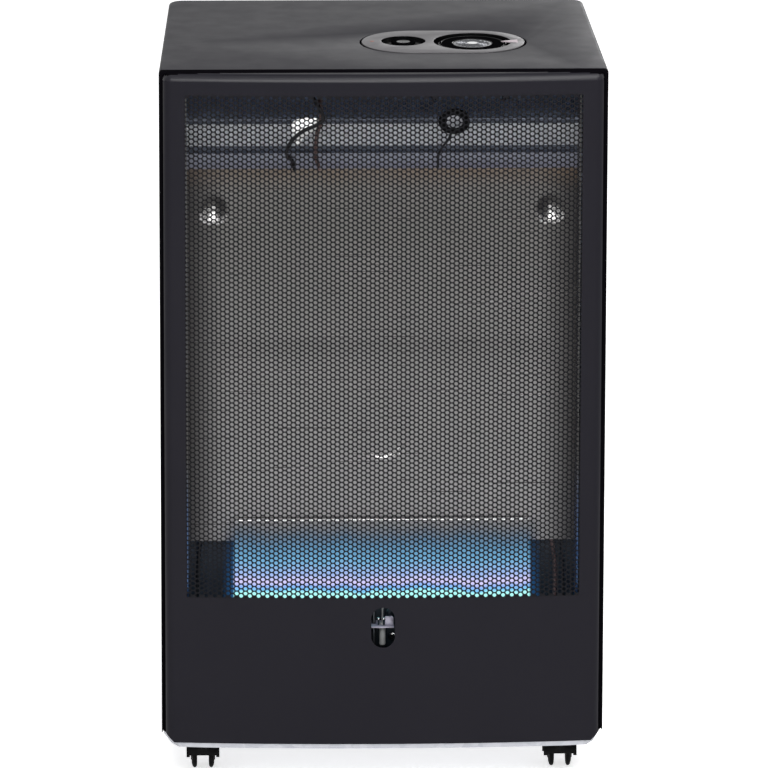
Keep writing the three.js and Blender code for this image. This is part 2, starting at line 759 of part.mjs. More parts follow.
// ---- burner: a hollow bar with two rows of slots, fed by a mixing tube and a jet
function addBurner() {
  const half = burnerWidth / 2;
  const bottom = shelfTop + fit;
  let bar = block(-half, half, burnerFront, burnerBack, bottom, burnerTop);
  bar = cut(bar, block(-half + burnerWall, half - burnerWall,
    burnerFront + burnerWall, burnerBack - burnerWall, bottom + burnerWall, burnerTop - burnerWall));
  const rowGap = burnerDepth / (portRows + 1);
  for (let row = 1; row <= portRows; row += 1) {
    for (let i = 0; i < portCount; i += 1) {
      const x = (i - (portCount - 1) / 2) * portPitch;
      const y = burnerFront + row * rowGap;
      const [low, high] = [x - portWidth / 2, x + portWidth / 2];
      bar = cut(bar, block(low, high, y - 1, y + 1, burnerTop - 2 * burnerWall, far));
    }
  }
  const left = place(-1, 0, 0);
  bar = cut(bar, ...screwHoles(),
    rod(place(-half + 2 * burnerWall, burnerMiddle, tubeHeight), left, 4 * burnerWall, tubeRadius - 2));
  add('burner_bar', bar, heatSteel());

  const wall = 1.2;
  const mouth = tubeRadius + 3;
  add('mixing_tube', turned([
    [tubeRadius - wall, 0], [tubeRadius, 0], [tubeRadius, tubeLength - 6], [mouth, tubeLength],
    [mouth - wall, tubeLength], [tubeRadius - wall, tubeLength - 6],
  ], place(-half - fit, burnerMiddle, tubeHeight), left, 20), galvanised());

  add('injector', turned([
    [0, 0], [1.5, 0], [3.5, 4], [5, 4], [5, jetLength], [0, jetLength],
  ], place(jetBack + jetLength, burnerMiddle, tubeHeight), left, 12), brass());

  const plateFront = burnerBack + fit;
  const path = [
    [plateFront + cheekSheet, shelfTop + fit],
    [plateFront + cheekSheet, flamePlateTop - cheekSheet],
    [plateFront + cheekSheet + flamePlateLip, flamePlateTop - cheekSheet],
  ];
  add('flame_plate', across(folded(path, cheekSheet), -half, half), heatSteel());

  add('gas_pipe', pipe(gasRoute, pipeRadius, 8, 48), rubber());
  const clipBack = deflectorReach - cheekSheet - fit;
  const clip = block(clipLeft, clipRight, clipBack - cheekSheet, clipBack,
    deflectorLip - 10, deflectorLip + 8);
  add('pipe_clip', clip, chrome());
}

// ---- pilot: bracket, pilot tube, electrode and thermocouple, seen through the slot
function addPilot() {
  const legBack = burnerFront - fit;
  const top = pilotPlateHeight + bracketSheet;
  const path = [[legBack, shelfTop + 12], [legBack, top], [7, top]];
  const half = pilotPlateWidth / 2;
  let bracket = across(folded(path, bracketSheet), -half, half);
  bracket = join(bracket, block(pilotTabLeft, pilotTabRight, 11, 11 + bracketSheet,
    pilotPlateHeight, top + pilotTabHeight));
  bracket = cut(bracket,
    rod(place(0, electrodeY, 0), alongZ, far, electrodeRadius + fit),
    rod(place(probeX, probeY, 0), alongZ, far, probeRadius + fit));
  add('pilot_bracket', cut(bracket, ...screwHoles()), galvanised());

  add('pilot_burner', turned([[0, 0], [4, 0], [4, 12], [2.5, 14], [0, 14]],
    place(pilotX, probeY + 1, top + fit), alongZ, 12), brass());
  add('spark_electrode', turned([
    [0, 0], [electrodeRadius * 0.7, 0], [electrodeRadius, 1], [electrodeRadius, ceramicLength],
    [1, ceramicLength + 2], [1, ceramicLength + 2 + wireLength], [0, ceramicLength + 2 + wireLength],
  ], place(0, electrodeY, probeBottom - electrodeDrop), alongZ, 12), ceramic());
  add('thermocouple', join(
    rod(place(probeX, probeY, probeBottom), alongZ, probeLength, probeRadius, 12),
    pipe(probeRoute, leadRadius, 6, 44)), copper());
  add('ignition_lead', pipe(sparkRoute, leadRadius, 6, 40), rubber());

  const slope = new THREE.Vector2(deflectorBack - deflectorReach, -deflectorRise).normalize();
  const seat = place(cutoutX, deflectorReach + slope.x * cutoutFall, deflectorLip + slope.y * cutoutFall);
  const facing = place(0, slope.y, -slope.x);
  seat.addScaledVector(facing, cheekSheet + fit);
  add('overheat_cutout', turned([[0, 0], [9, 0], [14, 1], [14, 7], [12, 9], [8, 9], [8, 8], [0, 8]],
    seat, facing, 20), blackPlastic());
}

// ---- controls: bezel with two wells, knob on a spindle, igniter button, valve
function addControls() {
  const bezelTop = caseHeight + bezelRise;
  const wellFloor = bezelTop - wellDepth;
  const buttonFloor = bezelTop - buttonWellDepth;
  const under = caseHeight - sheet - fit;
  const oval = (extra) => stadium(bezelX, bezelY, bezelLength + extra, bezelDepth + extra);
  const plug = raised(oval(-2 * bezelSeam), under - bezelPlate, bezelTop);
  const rim = raised(oval(bezelFlange), under - bezelPlate, under);
  const cups = join(
    rod(place(knobX, knobY, wellFloor - bezelWall), alongZ,
      wellDepth, wellRadius + bezelWall, 32),
    rod(place(buttonX, buttonY, buttonFloor - bezelWall), alongZ,
      buttonWellDepth, buttonWellRadius + bezelWall, 28));
  const bezel = cut(join(plug, rim, cups),
    rod(place(knobX, knobY, wellFloor), alongZ, far, wellRadius, 32),
    rod(place(knobX, knobY, 0), alongZ, far, spindleRadius + 2),
    rod(place(buttonX, buttonY, buttonFloor), alongZ, far, buttonWellRadius, 28),
    rod(place(buttonX, buttonY, 0), alongZ, far, plungerRadius + 1));
  add('control_bezel', bezel, greyPlastic());

  const knobBase = caseHeight - knobTopDrop - knobHeight;
  const bore = spindleRadius + fit;
  const dish = knobHeight - capHeight - fit;
  const knobAt = place(knobX, knobY, knobBase);
  add('control_knob', turned([
    [bore, 0], [knobRadius, 0], [knobRadius, knobHeight - 2.5], [knobRadius - 2.5, knobHeight],
    [capRadius + fit, knobHeight], [capRadius + fit, dish], [0, dish], [0, dish - 2], [bore, dish - 2],
  ], knobAt, alongZ, 32), blackPlastic());
  add('knob_cap', turned([
    [0, 0], [capRadius, 0], [capRadius, capHeight - 1.5], [capRadius - 4, capHeight], [0, capHeight],
  ], place(knobX, knobY, knobBase + dish + fit), alongZ, 20), chrome());
  const spindleBottom = valveTop - 6;
  const spindleLength = knobBase + dish - 2 - fit - spindleBottom;
  const spindle = rod(place(knobX, knobY, spindleBottom), alongZ, spindleLength, spindleRadius);
  add('valve_spindle', spindle, brass());

  const buttonBase = buttonFloor + buttonPress + fit;
  const buttonTop = caseHeight + buttonRise;
  const plungerBottom = buttonFloor - 10;
  const height = buttonTop - buttonBase;
  add('igniter_button', turned([
    [0, plungerBottom - buttonBase], [plungerRadius, plungerBottom - buttonBase], [plungerRadius, 0],
    [buttonRadius, 0], [buttonRadius, height - 0.8], [buttonRadius - 2, height], [0, height - 0.8],
  ], place(buttonX, buttonY, buttonBase), alongZ, 20), blackPlastic());
  add('piezo_igniter', cut(
    rod(place(buttonX, buttonY, igniterBottom + 2), alongZ, igniterLength - 2, igniterRadius, 20),
    rod(place(buttonX, buttonY, plungerBottom - buttonPress - 2), alongZ, far, plungerRadius + fit, 20),
    rod(place(buttonX, buttonY, 0), alongZ, igniterBottom + 8, leadRadius + fit, 8)), blackPlastic());

  const bracketTop = valveTop + fit + bracketSheet;
  const back = partitionFront + sheet + fit;
  const shelfEnd = knobY + valveDepth / 2 + 12;
  const path = [[shelfEnd, bracketTop], [back, bracketTop], [back, valveTop - bracketDrop]];
  const bracket = across(folded(path, bracketSheet), bezelX - bracketReachLeft, bezelX + bracketReachRight);
  add('valve_bracket', cut(bracket, ...passages, ...screwHoles(),
    rod(place(knobX, knobY, 0), alongZ, far, spindleRadius + 2),
    rod(place(buttonX, buttonY, 0), alongZ, far, igniterRadius + fit, 20)), galvanised());

  const valveBottom = valveTop - valveHeight;
  const body = join(
    block(valveSide, valveSide + valveWidth, knobY - valveDepth / 2, knobY + valveDepth / 2,
      valveBottom, valveTop),
    rod(place(valveSide + 1, knobY, pipeStart.z), place(-1, 0, 0), outletLength + 1, 6, 12));
  const boreBottom = spindleBottom - knobPress - 2;
  const spindleBore = rod(place(knobX, knobY, boreBottom), alongZ, far, spindleRadius + fit);
  add('gas_valve', cut(body, spindleBore), castMetal());

  const barbs = [];
  for (let i = 0; i < 3; i += 1) {
    barbs.push([4.2, 10 + i * 6], [5, 10 + i * 6], [4, 15 + i * 6]);
  }
  add('hose_inlet', turned([[0, 0], [8, 0], [8, 6], [4.2, 8], ...barbs, [3.4, 30], [0, 30]],
    place(knobX, knobY, valveBottom - fit), place(0, 0, -1), 12), brass());
  }

// ---- back cover: a bulged shell that hooks into the side panels
function addCover() {
  const front = caseDepth + fit;
  const shell = (inset, low, top) => {
    const right = [[coverHalfWidth - inset, front - inset], ...coverPoints(inset)];
    return raised(outline(mirrored(right)), low, top);
  };
  // Everything above the sloping roof, which falls towards the back.
  const roof = (drop) => across(outline([
    [front - 10, coverTop - drop], [caseDepth + coverShoulder, coverTop - drop],
    [coverBack + 1, coverTop - drop - coverTopFall], [coverBack + 1, far], [front - 10, far],
  ]), -far, far);
  let cover = cut(cut(shell(0, coverBottom, coverTop + 1), roof(0)),
    cut(shell(coverSheet, coverBottom - 1, coverTop), roof(coverSheet)));
  for (const z of hookHeights) {
    for (const side of [-1, 1]) {
      const low = Math.min(side * (coverHalfWidth - coverSheet), side * coverHalfWidth);
      const high = low + coverSheet;
      const tip = caseDepth - hookDepth;
      cover = join(cover,
        block(low, high, tip, front + 2, z, z + hookNeck),
        block(low, high, tip, caseDepth - sheet - hookSlotGap, z - hookLeg, z + hookNeck));
    }
  }
  for (const base of ventHeights) {
    for (let i = 0; i < ventCount; i += 1) {
      const z = base + i * ventPitch;
      const half = ventLength / 2;
      cover = cut(cover, block(-half, half, coverBack - 5, coverBack + 5, z, z + ventHeight));
    }
  }
  add('rear_cover', cover, blackPaint());
}

// ---- screws: pan heads with plain shanks
const shelfScrewX = burnerWidth / 2 - 27;
const bracketScrewLeft = bezelX - bracketReachLeft + 46;
const bracketScrewRight = bezelX + bracketReachRight - 16;
const bracketScrewY = partitionFront - fit / 2;
const bracketScrewZ = valveTop - bracketDrop / 2;
const screwPlaces = [
  { name: 'shelf_screw_left', at: [-shelfScrewX, partitionFront + sheet, shelfTop + 9], into: -1, depth: 9 },
  { name: 'shelf_screw_right', at: [shelfScrewX, partitionFront + sheet, shelfTop + 9], into: -1, depth: 9 },
  { name: 'bracket_screw_left', at: [bracketScrewLeft, bracketScrewY, bracketScrewZ], into: 1, depth: 9 },
  { name: 'bracket_screw_right', at: [bracketScrewRight, bracketScrewY, bracketScrewZ], into: 1, depth: 9 },
  { name: 'pilot_screw', at: [9.5, burnerFront - fit - bracketSheet, slotBottom + 1], into: 1, depth: 9 },
];

function screwHoles() {
  return screwPlaces.map(({ at: [x, y, z], into, depth }) => (
    rod(place(x, y - into, z), place(0, into, 0), depth + 2, screwRadius + fit, 8)));
}

function addScrews() {
  for (const { name, at: [x, y, z], into, depth } of screwPlaces) {
    const head = screwRadius * 2;
    const seat = y - into * fit;
    add(name, turned([
      [0, 2], [head * 0.7, 2], [head, 1], [head, 0], [screwRadius, 0], [screwRadius, -depth], [0, -depth],
    ].reverse(), place(x, seat, z), place(0, -into, 0), 8), chrome());
  }
}

// ---- casters: a stem, a hood and two wheels on one axle
function addCaster({ name, x, y }) {
  const axleY = y + wheelTrail;
  const innerHalf = (wheelSpacing - wheelWidth) / 2 - fit;
  const rodX = (from, to, radius, sides = 20) => rod(
    place(x + from, axleY, axleHeight), alongX, to - from, radius, sides);
  const wheelSpace = wheelRadius + 1.4;
  const half = hoodWidth / 2;
  const body = join(
    rodX(-half, half, hoodRadius),
    rod(place(x, y, axleHeight), alongZ, hoodTop - axleHeight, 8),
    rod(place(x, y, hoodTop - 1), alongZ, trayUnderside - fit - hoodTop + 1, socketRadius));
  const hoodEnd = axleHeight - hoodRadius * Math.sin((hoodSweep * Math.PI) / 180);
  add(`caster_hood_${name}`, cut(body,
    rodX(innerHalf, half + 5, wheelSpace),
    rodX(-half - 5, -innerHalf, wheelSpace),
    rodX(-half, half, axleRadius + fit, 8),
    rod(place(x, y, stemBottom - fit), alongZ, far, stemRadius + fit),
    block(-far, far, -far, far, -far, hoodEnd)), blackPlastic());
  const stem = rod(place(x, y, stemBottom), alongZ, stemTop - stemBottom, stemRadius);
  add(`caster_stem_${name}`, stem, chrome());
  const reach = (wheelSpacing + wheelWidth) / 2 + fit;
  add(`caster_axle_${name}`, rodX(-reach, reach, axleRadius, 8), chrome());
  for (const [side, label] of [[-1, 'left'], [1, 'right']]) {
    const w = wheelWidth / 2;
    const wheel = turned([
      [axleRadius + fit, -w], [wheelRadius * 0.8, -w], [wheelRadius, -w * 0.6], [wheelRadius, w * 0.6],
      [wheelRadius * 0.8, w], [axleRadius + fit, w],
    ], place(0, 0, 0), alongX, wheelSides);
    const turnedFlat = wheel.rotate([180 / wheelSides, 0, 0]);
    add(`wheel_${name}_${label}`,
      turnedFlat.translate([x + (side * wheelSpacing) / 2, axleY, axleHeight]), rubber());
  }
}

addTray();
addSidePanel('left_side_panel', -1);
addSidePanel('right_side_panel', 1);
addLid();
addFrontPanel();
addGuard();
addFirebox();
addBurner();
addPilot();
addControls();
addCover();
addScrews();
casterPlaces.forEach(addCaster);

export default heater;
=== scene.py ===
"""Looks of a portable gas cabinet heater with a blue flame behind a perforated front.

Sizes are millimetres, with y counted from the heater's front plane, as a maker's drawing
would give them. ``place`` turns them into metres in the shared frame.
"""

from __future__ import annotations

import logging
import math
from dataclasses import dataclass, field
from enum import Enum
from typing import Iterable, Sequence

import bmesh
import bpy
from mathutils import Matrix, Vector

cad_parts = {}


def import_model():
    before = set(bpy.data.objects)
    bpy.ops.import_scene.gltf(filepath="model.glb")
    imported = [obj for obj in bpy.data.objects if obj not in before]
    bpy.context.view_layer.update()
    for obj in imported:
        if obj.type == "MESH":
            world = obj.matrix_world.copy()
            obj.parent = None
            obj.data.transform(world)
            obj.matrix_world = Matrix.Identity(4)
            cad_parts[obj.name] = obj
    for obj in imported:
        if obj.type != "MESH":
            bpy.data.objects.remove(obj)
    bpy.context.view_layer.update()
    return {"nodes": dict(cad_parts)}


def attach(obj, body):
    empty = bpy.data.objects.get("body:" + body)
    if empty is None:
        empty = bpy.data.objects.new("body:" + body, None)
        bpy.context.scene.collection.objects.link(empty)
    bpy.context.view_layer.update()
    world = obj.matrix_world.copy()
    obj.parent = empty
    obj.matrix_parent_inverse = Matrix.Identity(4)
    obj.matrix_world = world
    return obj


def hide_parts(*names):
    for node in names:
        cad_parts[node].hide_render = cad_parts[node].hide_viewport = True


LOG = logging.getLogger("heater")

FRONT_TO_MIDDLE = 192.5  # mm from the front plane to the middle of the heater's box
MM = 0.001

Point = tuple[float, float, float]
Pair = tuple[float, float]
Face = Sequence[int]
Piece = bpy.types.Object
Material = bpy.types.Material
Tree = bpy.types.NodeTree
Node = bpy.types.Node
Socket = bpy.types.NodeSocket


# ------------------------------------------------------------------ small tools
def place(x: float, y: float, z: float) -> Vector:
    """Return a point of the drawing in metres in the shared frame."""
    return Vector((x, y - FRONT_TO_MIDDLE, z)) * MM


def linear(hex_colour: str) -> tuple[float, float, float, float]:
    """Turn an sRGB hex colour into linear values.

    Args:
        hex_colour: six hexadecimal digits, without a mark in front.

    Returns:
        Red, green, blue and an alpha of 1.
    """
    parts = [int(hex_colour[i : i + 2], 16) / 255 for i in (0, 2, 4)]
    red, green, blue = (
        c / 12.92 if c <= 0.04045 else ((c + 0.055) / 1.055) ** 2.4 for c in parts
    )
    return (red, green, blue, 1.0)


def add_node(tree: Tree, kind: str, inputs: dict | None = None, **settings: object) -> Node:
    """Add a node, set what it needs and link what feeds it.

    Args:
        tree: the node tree.
        kind: the node's type name.
        inputs: socket name or number to a value, or to an output socket to link.
        **settings: attributes of the node.

    Returns:
        The new node.
    """
    node = tree.nodes.new(kind)
    for name, value in settings.items():
        setattr(node, name, value)
    for key, value in (inputs or {}).items():
        socket = node.inputs[key]
        if isinstance(value, Socket):
            tree.links.new(value, socket)
        else:
            socket.default_value = value
    return node


def mesh_object(name: str, points: Sequence[Point], faces: Iterable[Sequence[int]]) -> Piece:
    """Make an object from points of the drawing, with doubles merged and faces turned out.

    Args:
        name: the piece's name.
        points: corners in millimetres.
        faces: corner numbers of each face.

    Returns:
        The new object, at the origin.
    """
    mesh = bpy.data.meshes.new(name)
    mesh.from_pydata([place(*p) for p in points], [], [list(f) for f in faces])
    work = bmesh.new()
    work.from_mesh(mesh)
    bmesh.ops.remove_doubles(work, verts=work.verts, dist=1e-6)
    bmesh.ops.dissolve_degenerate(work, edges=work.edges, dist=1e-7)
    bmesh.ops.recalc_face_normals(work, faces=work.faces)
    work.to_mesh(mesh)
    work.free()
    made = bpy.data.objects.new(name, mesh)
    bpy.context.scene.collection.objects.link(made)
    return made


def settled(made: Piece) -> Piece:
    """Bake the modifiers of an object into its mesh.

    Args:
        made: an object with modifiers.

    Returns:
        The same object with a plain mesh and no modifiers.
    """
    bpy.context.view_layer.update()
    graph = bpy.context.evaluated_depsgraph_get()
    plain = bpy.data.meshes.new_from_object(made.evaluated_get(graph))
    plain.name = made.name
    made.modifiers.clear()
    made.data = plain
    return made


def quarter(steps: int, first: int = 0) -> list[float]:
    """Return the angles of a quarter turn, from its first step to its last."""
    return [math.pi / 2 * i / steps for i in range(first, steps + 1)]


def band(lower: int, upper: int, count: int, closed: bool = True) -> list[Face]:
    """Return the faces between two rows of points.

    Args:
        lower: number of the first row's first point.
        upper: number of the second row's first point.
        count: points in a row.
        closed: whether the last point joins the first.

    Returns:
        Four corner numbers for each face.
    """
    return [(lower + i, lower + (i + 1) % count, upper + (i + 1) % count, upper + i)
            for i in range(count if closed else count - 1)]


def slab_faces(columns: int, rows: int) -> list[Face]:
    """Return the faces of a sheet: a grid of points, the same grid behind it and the edge between.

    Args:
        columns: points across.
        rows: points upwards.

    Returns:
        Four corner numbers for each face.
    """
    layer = columns * rows
    faces: list[Face] = []
    for start in (0, layer):
        for j in range(rows - 1):
            low = start + j * columns
            faces += band(low, low + columns, columns, closed=False)
    edge = [*range(columns), *[j * columns + columns - 1 for j in range(1, rows)],
            *[layer - 1 - i for i in range(1, columns)], *[j * columns for j in range(rows - 2, 0, -1)]]
    return faces + [(a, b, b + layer, a + layer) for a, b in zip(edge, edge[1:] + edge[:1])]


def smoothed(made: Piece, angle: float = 32.0) -> Piece:
    """Shade an object smooth, with edges sharper than the angle kept."""
    made.data.shade_smooth()
    made.data.set_sharp_from_angle(angle=math.radians(angle))
    return made


def bevelled(made: Piece, width: float, segments: int = 2, angle: float = 35.0) -> Piece:
    """Round an object's edges.

    Args:
        made: the object.
        width: width of the rounding in millimetres.
        segments: faces across it.
        angle: only edges sharper than this, in degrees, are rounded.

    Returns:
        The same object, with the rounding in its mesh.
    """
    bevel = made.modifiers.new("edge", "BEVEL")
    bevel.width = width * MM
    bevel.segments = segments
    bevel.limit_method = "ANGLE"
    bevel.angle_limit = math.radians(angle)
    bevel.use_clamp_overlap = True
    return settled(made)


def carved(made: Piece, *tools: Piece) -> Piece:
    """Cut tools out of an object and remove the tools.

    Args:
        made: the object.
        *tools: what is cut out of it.

    Returns:
        The same object, with the cuts in its mesh.
    """
    for tool in tools:
        cut = made.modifiers.new("cut", "BOOLEAN")
        cut.object = tool
        cut.operation = "DIFFERENCE"
        cut.solver = "EXACT"
    settled(made)
    for tool in tools:
        bpy.data.objects.remove(tool)
    return made


def turned(
    name: str,
    profile: Sequence[Pair],
    at: Point,
    axis: Point = (0, 0, 1),
    sides: int = 64,
    closed: bool = True,
) -> Piece:
    """Turn a profile round an axis, as on a lathe.

    Args:
        name: the piece's name.
        profile: (radius, height) pairs; a radius of 0 is a pole.
        at: the axis's start, in millimetres.
        axis: the axis's direction.
        sides: faces round the axis.
        closed: whether the last point joins the first.

    Returns:
        The new object.
    """
    turn = Vector((0, 0, 1)).rotation_difference(Vector(axis)).to_matrix()
    points: list[Point] = []
    for radius, height in profile:
        for i in range(sides):
            angle = 2 * math.pi * i / sides
            local = Vector((radius * math.cos(angle), radius * math.sin(angle), height))
            points.append(tuple(turn @ local + Vector(at)))
    faces: list[Face] = []
    rows = len(profile)
    for j in range(rows if closed else rows - 1):
        faces += band(j * sides, (j + 1) % rows * sides, sides)
    return mesh_object(name, points, faces)


def prism(name: str, outline: Sequence[Pair], low: float, high: float, plane: str = "xy") -> Piece:
    """Raise a flat outline into a closed solid.

    Args:
        name: the piece's name.
        outline: corners, in order.
        low: where it starts.
        high: where it ends.
        plane: "xy" raises along z, "xz" along y, "yz" along x.

    Returns:
        The new object.
    """
    put = {
        "xy": lambda u, v, w: (u, v, w),
        "xz": lambda u, v, w: (u, w, v),
        "yz": lambda u, v, w: (w, u, v),
    }[plane]
    count = len(outline)
    points = [put(u, v, low) for u, v in outline] + [put(u, v, high) for u, v in outline]
    faces: list[Face] = [tuple(range(count)), tuple(range(2 * count - 1, count - 1, -1))]
    faces += band(0, count, count)
    return mesh_object(name, points, faces)


def box(name: str, x: Pair, y: Pair, z: Pair) -> Piece:
    """Make a block between the given limits."""
    return prism(name, [(x[0], y[0]), (x[1], y[0]), (x[1], y[1]), (x[0], y[1])], *z)


def stadium(
    centre: Pair, length: float, width: float, steps: int = 32, upright: bool = False
) -> list[Pair]:
    """Return the outline of a slot with round ends.

    Args:
        centre: its middle.
        length: end to end.
        width: across.
        steps: edges on each round end.
        upright: whether its long side stands up.

    Returns:
        The outline's corners.
    """
    radius = width / 2
    reach = length / 2 - radius
    points = []
    for side, start in ((1, -math.pi / 2), (-1, math.pi / 2)):
        for i in range(steps + 1):
            angle = start + math.pi * i / steps
            points.append((side * reach + radius * math.cos(angle), radius * math.sin(angle)))
    if upright:
        points = [(-v, u) for u, v in points]
    return [(centre[0] + u, centre[1] + v) for u, v in points]


def curve_through(points: Sequence[Point], per_span: int = 6) -> list[Vector]:
    """Return a smooth line through the points, in millimetres.

    Args:
        points: what it passes through.
        per_span: steps between two points.

    Returns:
        The line's points.
    """
    knots = [Vector(p) for p in points]
    knots = [2 * knots[0] - knots[1], *knots, 2 * knots[-1] - knots[-2]]
    line: list[Vector] = []
    for a, b, c, d in zip(knots, knots[1:], knots[2:], knots[3:]):
        t = [0.0]
        for p, q in ((a, b), (b, c), (c, d)):
            t.append(t[-1] + max((q - p).length, 1e-6) ** 0.5)
        for i in range(per_span):
            u = t[1] + (t[2] - t[1]) * i / per_span
            ab = a.lerp(b, (u - t[0]) / (t[1] - t[0]))
            bc = b.lerp(c, (u - t[1]) / (t[2] - t[1]))
            cd = c.lerp(d, (u - t[2]) / (t[3] - t[2]))
            abc = ab.lerp(bc, (u - t[0]) / (t[2] - t[0]))
            bcd = bc.lerp(cd, (u - t[1]) / (t[3] - t[1]))
            line.append(abc.lerp(bcd, (u - t[1]) / (t[2] - t[1])))
    line.append(knots[-2])
    return line


def tube(name: str, line: Sequence[Vector], radius: float, sides: int = 16) -> Piece:
    """Sweep a round section along a line, with closed ends.

    Args:
        name: the piece's name.
        line: the centre line, in millimetres.
        radius: of the tube.
        sides: faces round it.

    Returns:
        The new object.
    """
    points: list[Point] = []
    normal = Vector((0.13, 0.29, 0.95))
    for i, here in enumerate(line):
        ahead = line[min(i + 1, len(line) - 1)] - line[max(i - 1, 0)]
        ahead.normalize()
        normal = (normal - ahead * normal.dot(ahead)).normalized()
        other = ahead.cross(normal)
        for k in range(sides):
            angle = 2 * math.pi * k / sides
            points.append(tuple(here + radius * (math.cos(angle) * normal + math.sin(angle) * other)))
    rows = len(line)
    faces: list[Face] = [tuple(range(sides)), tuple(range((rows - 1) * sides, rows * sides))]
    for j in range(rows - 1):
        faces += band(j * sides, (j + 1) * sides, sides)
    return mesh_object(name, points, faces)


# ------------------------------------------------------------------ finishes
@dataclass(frozen=True)
class Finish:
    """What a surface is made of. Subclasses add the grain of one real material."""

    name: str
    colour: str
    roughness: float = 0.5
    metallic: float = 0.0
    specular: float = 0.5

    def start(self) -> tuple[Material, Tree, Node, Socket]:
        """Begin the material.

        Returns:
            The material, its tree, its shader and the Object coordinates.
        """
        material = bpy.data.materials.new(self.name)
        material.use_nodes = True
        tree = material.node_tree
        tree.nodes.clear()
        shader = add_node(tree, "ShaderNodeBsdfPrincipled", {
            "Base Color": linear(self.colour), "Roughness": self.roughness, "Metallic": self.metallic,
            "Specular IOR Level": self.specular})
        add_node(tree, "ShaderNodeOutputMaterial", {"Surface": shader.outputs[0]})
        coordinates = add_node(tree, "ShaderNodeTexCoord").outputs["Object"]
        return material, tree, shader, coordinates

    def material(self) -> Material:
        """Make the material once.

        Returns:
            The finished material.
        """
        known = bpy.data.materials.get(self.name)
        if known is not None:
            return known
        material, tree, shader, coordinates = self.start()
        self.grain(tree, shader, coordinates)
        return material

    def grain(self, tree: Tree, shader: Node, coordinates: Socket) -> None:
        """Add the surface's own structure. A bare finish gets faint wear in its gloss."""
        vary_roughness(tree, shader, coordinates, 60.0, self.roughness, 0.05)


def vary_roughness(
    tree: Tree,
    shader: Node,
    coordinates: Socket,
    scale: float,
    middle: float,
    spread: float,
) -> Node:
    """Let the gloss wander round its middle value.

    Args:
        tree: the material's tree.
        shader: its Principled node.
        coordinates: where the noise reads.
        scale: noise cells per metre.
        middle: mean roughness.
        spread: how far it wanders either way.

    Returns:
        The noise node.
    """
    noise = add_node(tree, "ShaderNodeTexNoise", {"Vector": coordinates, "Scale": scale, "Detail": 3.0})
    ramp = add_node(tree, "ShaderNodeMapRange", {
        "Value": noise.outputs[0], "From Min": 0.3, "From Max": 0.7,
        "To Min": middle - spread, "To Max": middle + spread})
    tree.links.new(ramp.outputs[0], shader.inputs["Roughness"])
    return noise


def bump(tree: Tree, shader: Node, height: Socket, depth: float, strength: float = 1.0) -> None:
    """Raise the surface by a height map.

    Args:
        tree: the material's tree.
        shader: its Principled node.
        height: values from 0 to 1.
        depth: millimetres between them.
        strength: how much of it shows.
    """
    node = add_node(tree, "ShaderNodeBump", {
        "Height": height, "Distance": depth * MM, "Strength": strength})
    tree.links.new(node.outputs[0], shader.inputs["Normal"])


@dataclass(frozen=True)
class PowderCoat(Finish):
    """Polyester powder baked on steel: a satin film with a fine orange peel."""

    second: str = "2b2a2f"
    peel: float = 1.1  # mm between the crests of the peel

    def grain(self, tree: Tree, shader: Node, coordinates: Socket) -> None:
        """Mottle the colour slightly and raise the peel.

        Args:
            tree: the material's tree.
            shader: its Principled node.
            coordinates: where the patterns read.
        """
        cloud = add_node(tree, "ShaderNodeTexNoise", {"Vector": coordinates, "Scale": 7.0, "Detail": 2.0})
        blend = add_node(tree, "ShaderNodeMix", {
            "Factor": cloud.outputs[0], "A": linear(self.colour), "B": linear(self.second)},
            data_type="RGBA")
        tree.links.new(blend.outputs["Result"], shader.inputs["Base Color"])
        vary_roughness(tree, shader, coordinates, 40.0, self.roughness, 0.03)
        peel = add_node(tree, "ShaderNodeTexNoise", {
            "Vector": coordinates, "Scale": 1000 / self.peel, "Detail": 1.0})
        bump(tree, shader, peel.outputs[0], 0.02, 0.35)


@dataclass(frozen=True)
class Galvanised(Finish):
    """Hot-dip zinc on sheet: pale grey with soft-edged crystals of a few millimetres."""

    second: str = "a9acb0"
    spangle: float = 7.0  # mm across one crystal

    def grain(self, tree: Tree, shader: Node, coordinates: Socket) -> None:
        """Give each crystal its own shade and gloss.

        Args:
            tree: the material's tree.
            shader: its Principled node.
            coordinates: where the patterns read.
        """
        cells = add_node(tree, "ShaderNodeTexVoronoi", {
            "Vector": coordinates, "Scale": 1000 / self.spangle})
        shade = add_node(tree, "ShaderNodeSeparateColor", {"Color": cells.outputs["Color"]})
        blend = add_node(tree, "ShaderNodeMix", {
            "Factor": shade.outputs[0], "A": linear(self.colour), "B": linear(self.second)},
            data_type="RGBA")
        tree.links.new(blend.outputs["Result"], shader.inputs["Base Color"])
        gloss = add_node(tree, "ShaderNodeMapRange", {
            "Value": shade.outputs[1], "To Min": self.roughness - 0.07, "To Max": self.roughness + 0.07})
        tree.links.new(gloss.outputs[0], shader.inputs["Roughness"])


